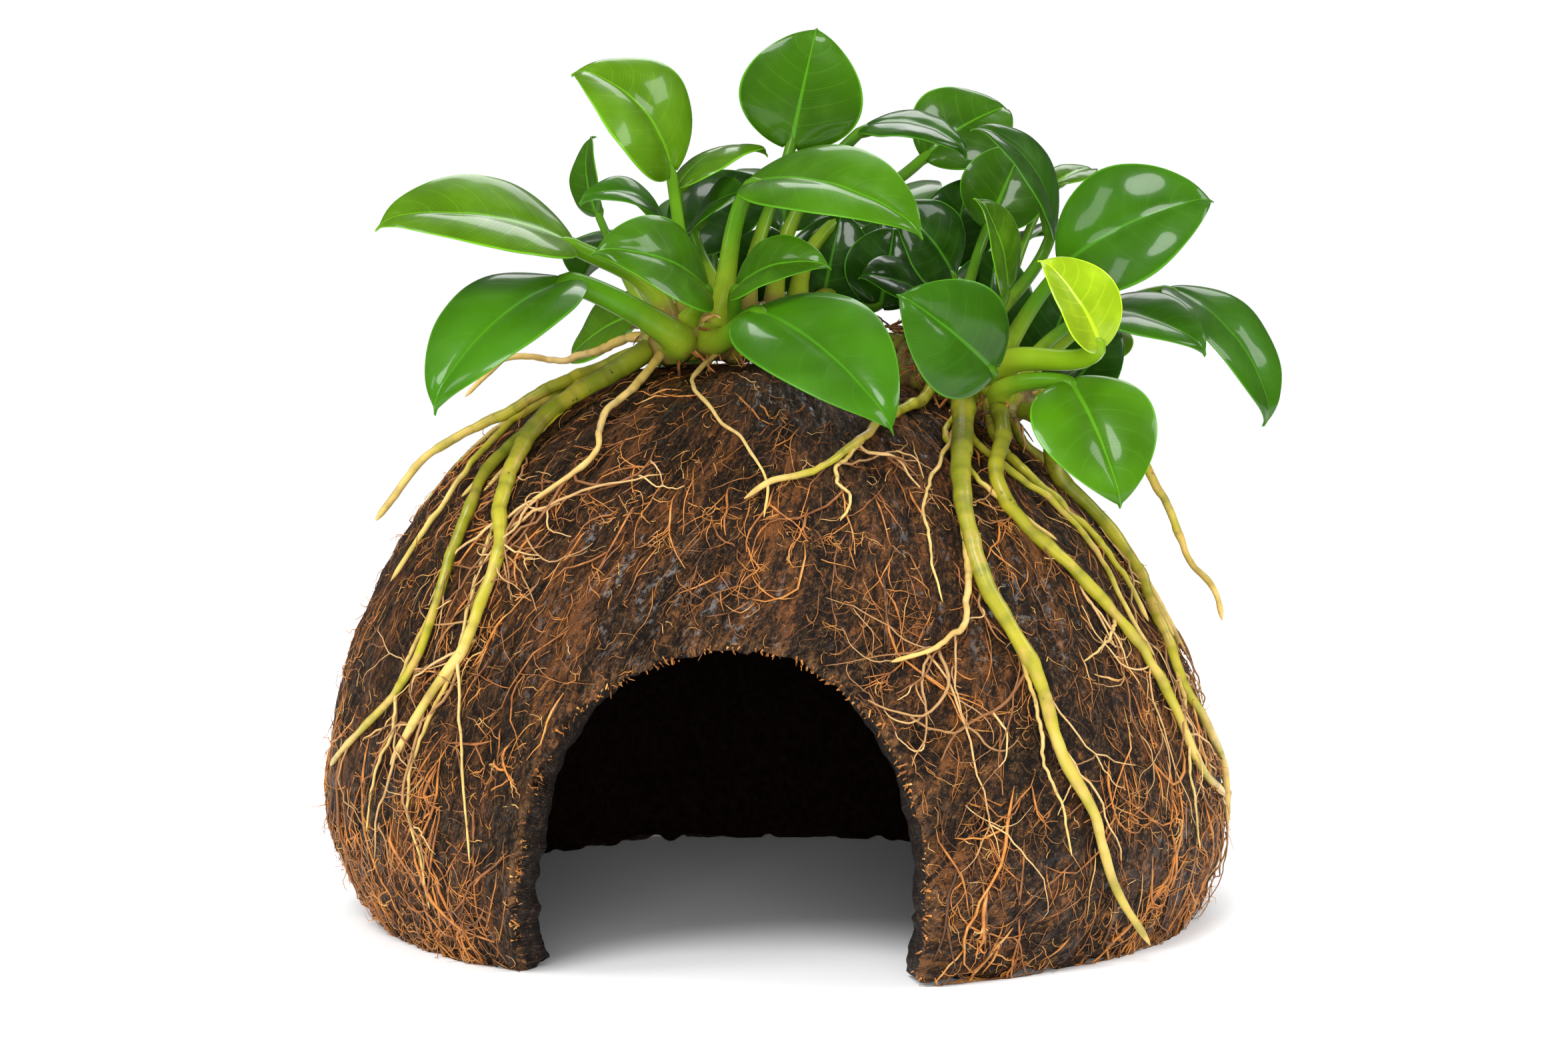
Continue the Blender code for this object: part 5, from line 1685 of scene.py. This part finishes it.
def add_floor(look, sides=96):
    """A pale floor that fades into the surround."""
    turn = np.arange(sides) * FULL_TURN / sides
    verts = look.floor_reach * np.stack((np.cos(turn), np.sin(turn), 0 * turn), -1)
    mesh = bpy.data.meshes.new("floor")
    mesh.from_pydata(verts.tolist(), [], [list(range(sides))])
    material, nodes, shader = new_material("Pale floor", Specular_IOR_Level=0.1, Roughness=0.8)
    paper = nodes.noise(nodes.place(), 900.0, 2.0, 0.5)
    shade = nodes.mix(nodes.band(paper, 0.3, 0.7), rgba([c * 0.985 for c in look.floor]), rgba(look.floor))
    away = nodes.add("ShaderNodeVectorMath", {0: nodes.place()}, operation="LENGTH").outputs["Value"]
    fade = nodes.band(away, look.floor_reach * 0.35, look.floor_reach, 1.0, 0.0)
    drive(nodes, shader, Base_Color=shade, Alpha=fade, Normal=nodes.bump(paper, 0.02, 0.05))
    mesh.materials.append(material)
    link_new("floor", mesh)


def add_surround(scene, look):
    """A surround that looks white and lights the plant more gently."""
    world = bpy.data.worlds.new("Surround")
    world.use_nodes = True
    nodes = Nodes(world.node_tree)
    background = world.node_tree.nodes["Background"]
    path = nodes.add("ShaderNodeLightPath", {}).outputs
    lit = nodes.band(path["Is Glossy Ray"], 0.0, 1.0, look.surround, look.surround_gloss)
    strength = nodes.sum("MAXIMUM", path["Is Camera Ray"], lit)
    background.inputs["Color"].default_value = (1, 1, 1, 1)
    world.node_tree.links.new(strength, background.inputs["Strength"])
    scene.world = world


def add_lights(look):
    """A broad main light from the upper front left, and softboxes for the gloss."""
    sun = bpy.data.lights.new("broad_light", "SUN")
    sun.energy, sun.angle = look.sun, SUN_SPREAD
    link_new("broad_light", sun).rotation_euler = SUN_TILT
    middle = np.array((SHELL_FOOT[0], SHELL_FOOT[1], AIM_HEIGHT))
    for name, place, size, power in SOFTBOXES:
        light = bpy.data.lights.new(name, "AREA")
        light.shape, light.size, light.size_y = "RECTANGLE", size[0], size[1]
        light.energy = power * look.softboxes
        box = link_new(name, light)
        box.location = place
        box.visible_glossy = name != "low_fill"
        aim = unit(middle - np.array(place))
        box.rotation_euler = (math.acos(-aim[2]), 0, math.atan2(aim[1], aim[0]) - math.pi / 2)


def add_camera(scene, look):
    """The camera, level from side to side and a little over the floor."""
    camera = bpy.data.cameras.new("camera")
    camera.lens, camera.sensor_width = look.lens, SENSOR_WIDTH
    camera.clip_start, camera.clip_end = 0.01, 20
    view = link_new("camera", camera)
    distance, rise = look.camera_distance, look.camera_height_angle
    view.location = SHELL_FOOT + (0, -distance * math.cos(rise), distance * math.sin(rise))
    view.rotation_euler = (math.pi / 2 - look.camera_pitch, 0, 0)
    scene.camera = view


class VIEW3D_PT_anubias_cave(bpy.types.Panel):
    bl_label = "Anubias Cave"
    bl_space_type = "VIEW_3D"
    bl_region_type = "UI"
    bl_category = "Anubias Cave"

    def draw(self, context):
        for operator in OPERATORS:
            self.layout.operator(operator.bl_idname)
        for key, group in SETTINGS.items():
            box = self.layout.box()
            for setting in group.__annotations__:
                box.prop(getattr(context.scene, key), setting)


SETTINGS = {
    "anubias_husk": AnubiasHuskSettings,
    "anubias_leaves": AnubiasLeafSettings,
    "anubias_roots": AnubiasRootSettings,
    "anubias_stage": AnubiasStageSettings,
}
OPERATORS = (
    ANUBIAS_OT_stage,
    ANUBIAS_OT_husk,
    ANUBIAS_OT_coir,
    ANUBIAS_OT_rhizomes,
    ANUBIAS_OT_leaves,
    ANUBIAS_OT_roots,
    ANUBIAS_OT_rootlets,
)


def register():
    """Add the settings, the operators and the panel."""
    for made in (*SETTINGS.values(), *OPERATORS, VIEW3D_PT_anubias_cave):
        bpy.utils.register_class(made)
    for key, group in SETTINGS.items():
        setattr(bpy.types.Scene, key, PointerProperty(type=group))


def unregister():
    """Take away the panel, the operators and the settings."""
    for key in SETTINGS:
        delattr(bpy.types.Scene, key)
    for made in reversed((*SETTINGS.values(), *OPERATORS, VIEW3D_PT_anubias_cave)):
        bpy.utils.unregister_class(made)


def main():
    """Make the whole scene."""
    register()
    bpy.ops.anubias.stage()
    bpy.ops.anubias.husk()
    bpy.ops.anubias.coir()
    bpy.ops.anubias.rhizomes()
    bpy.ops.anubias.leaves()
    bpy.ops.anubias.roots()
    bpy.ops.anubias.rootlets()


if __name__ == "__main__":
    main()
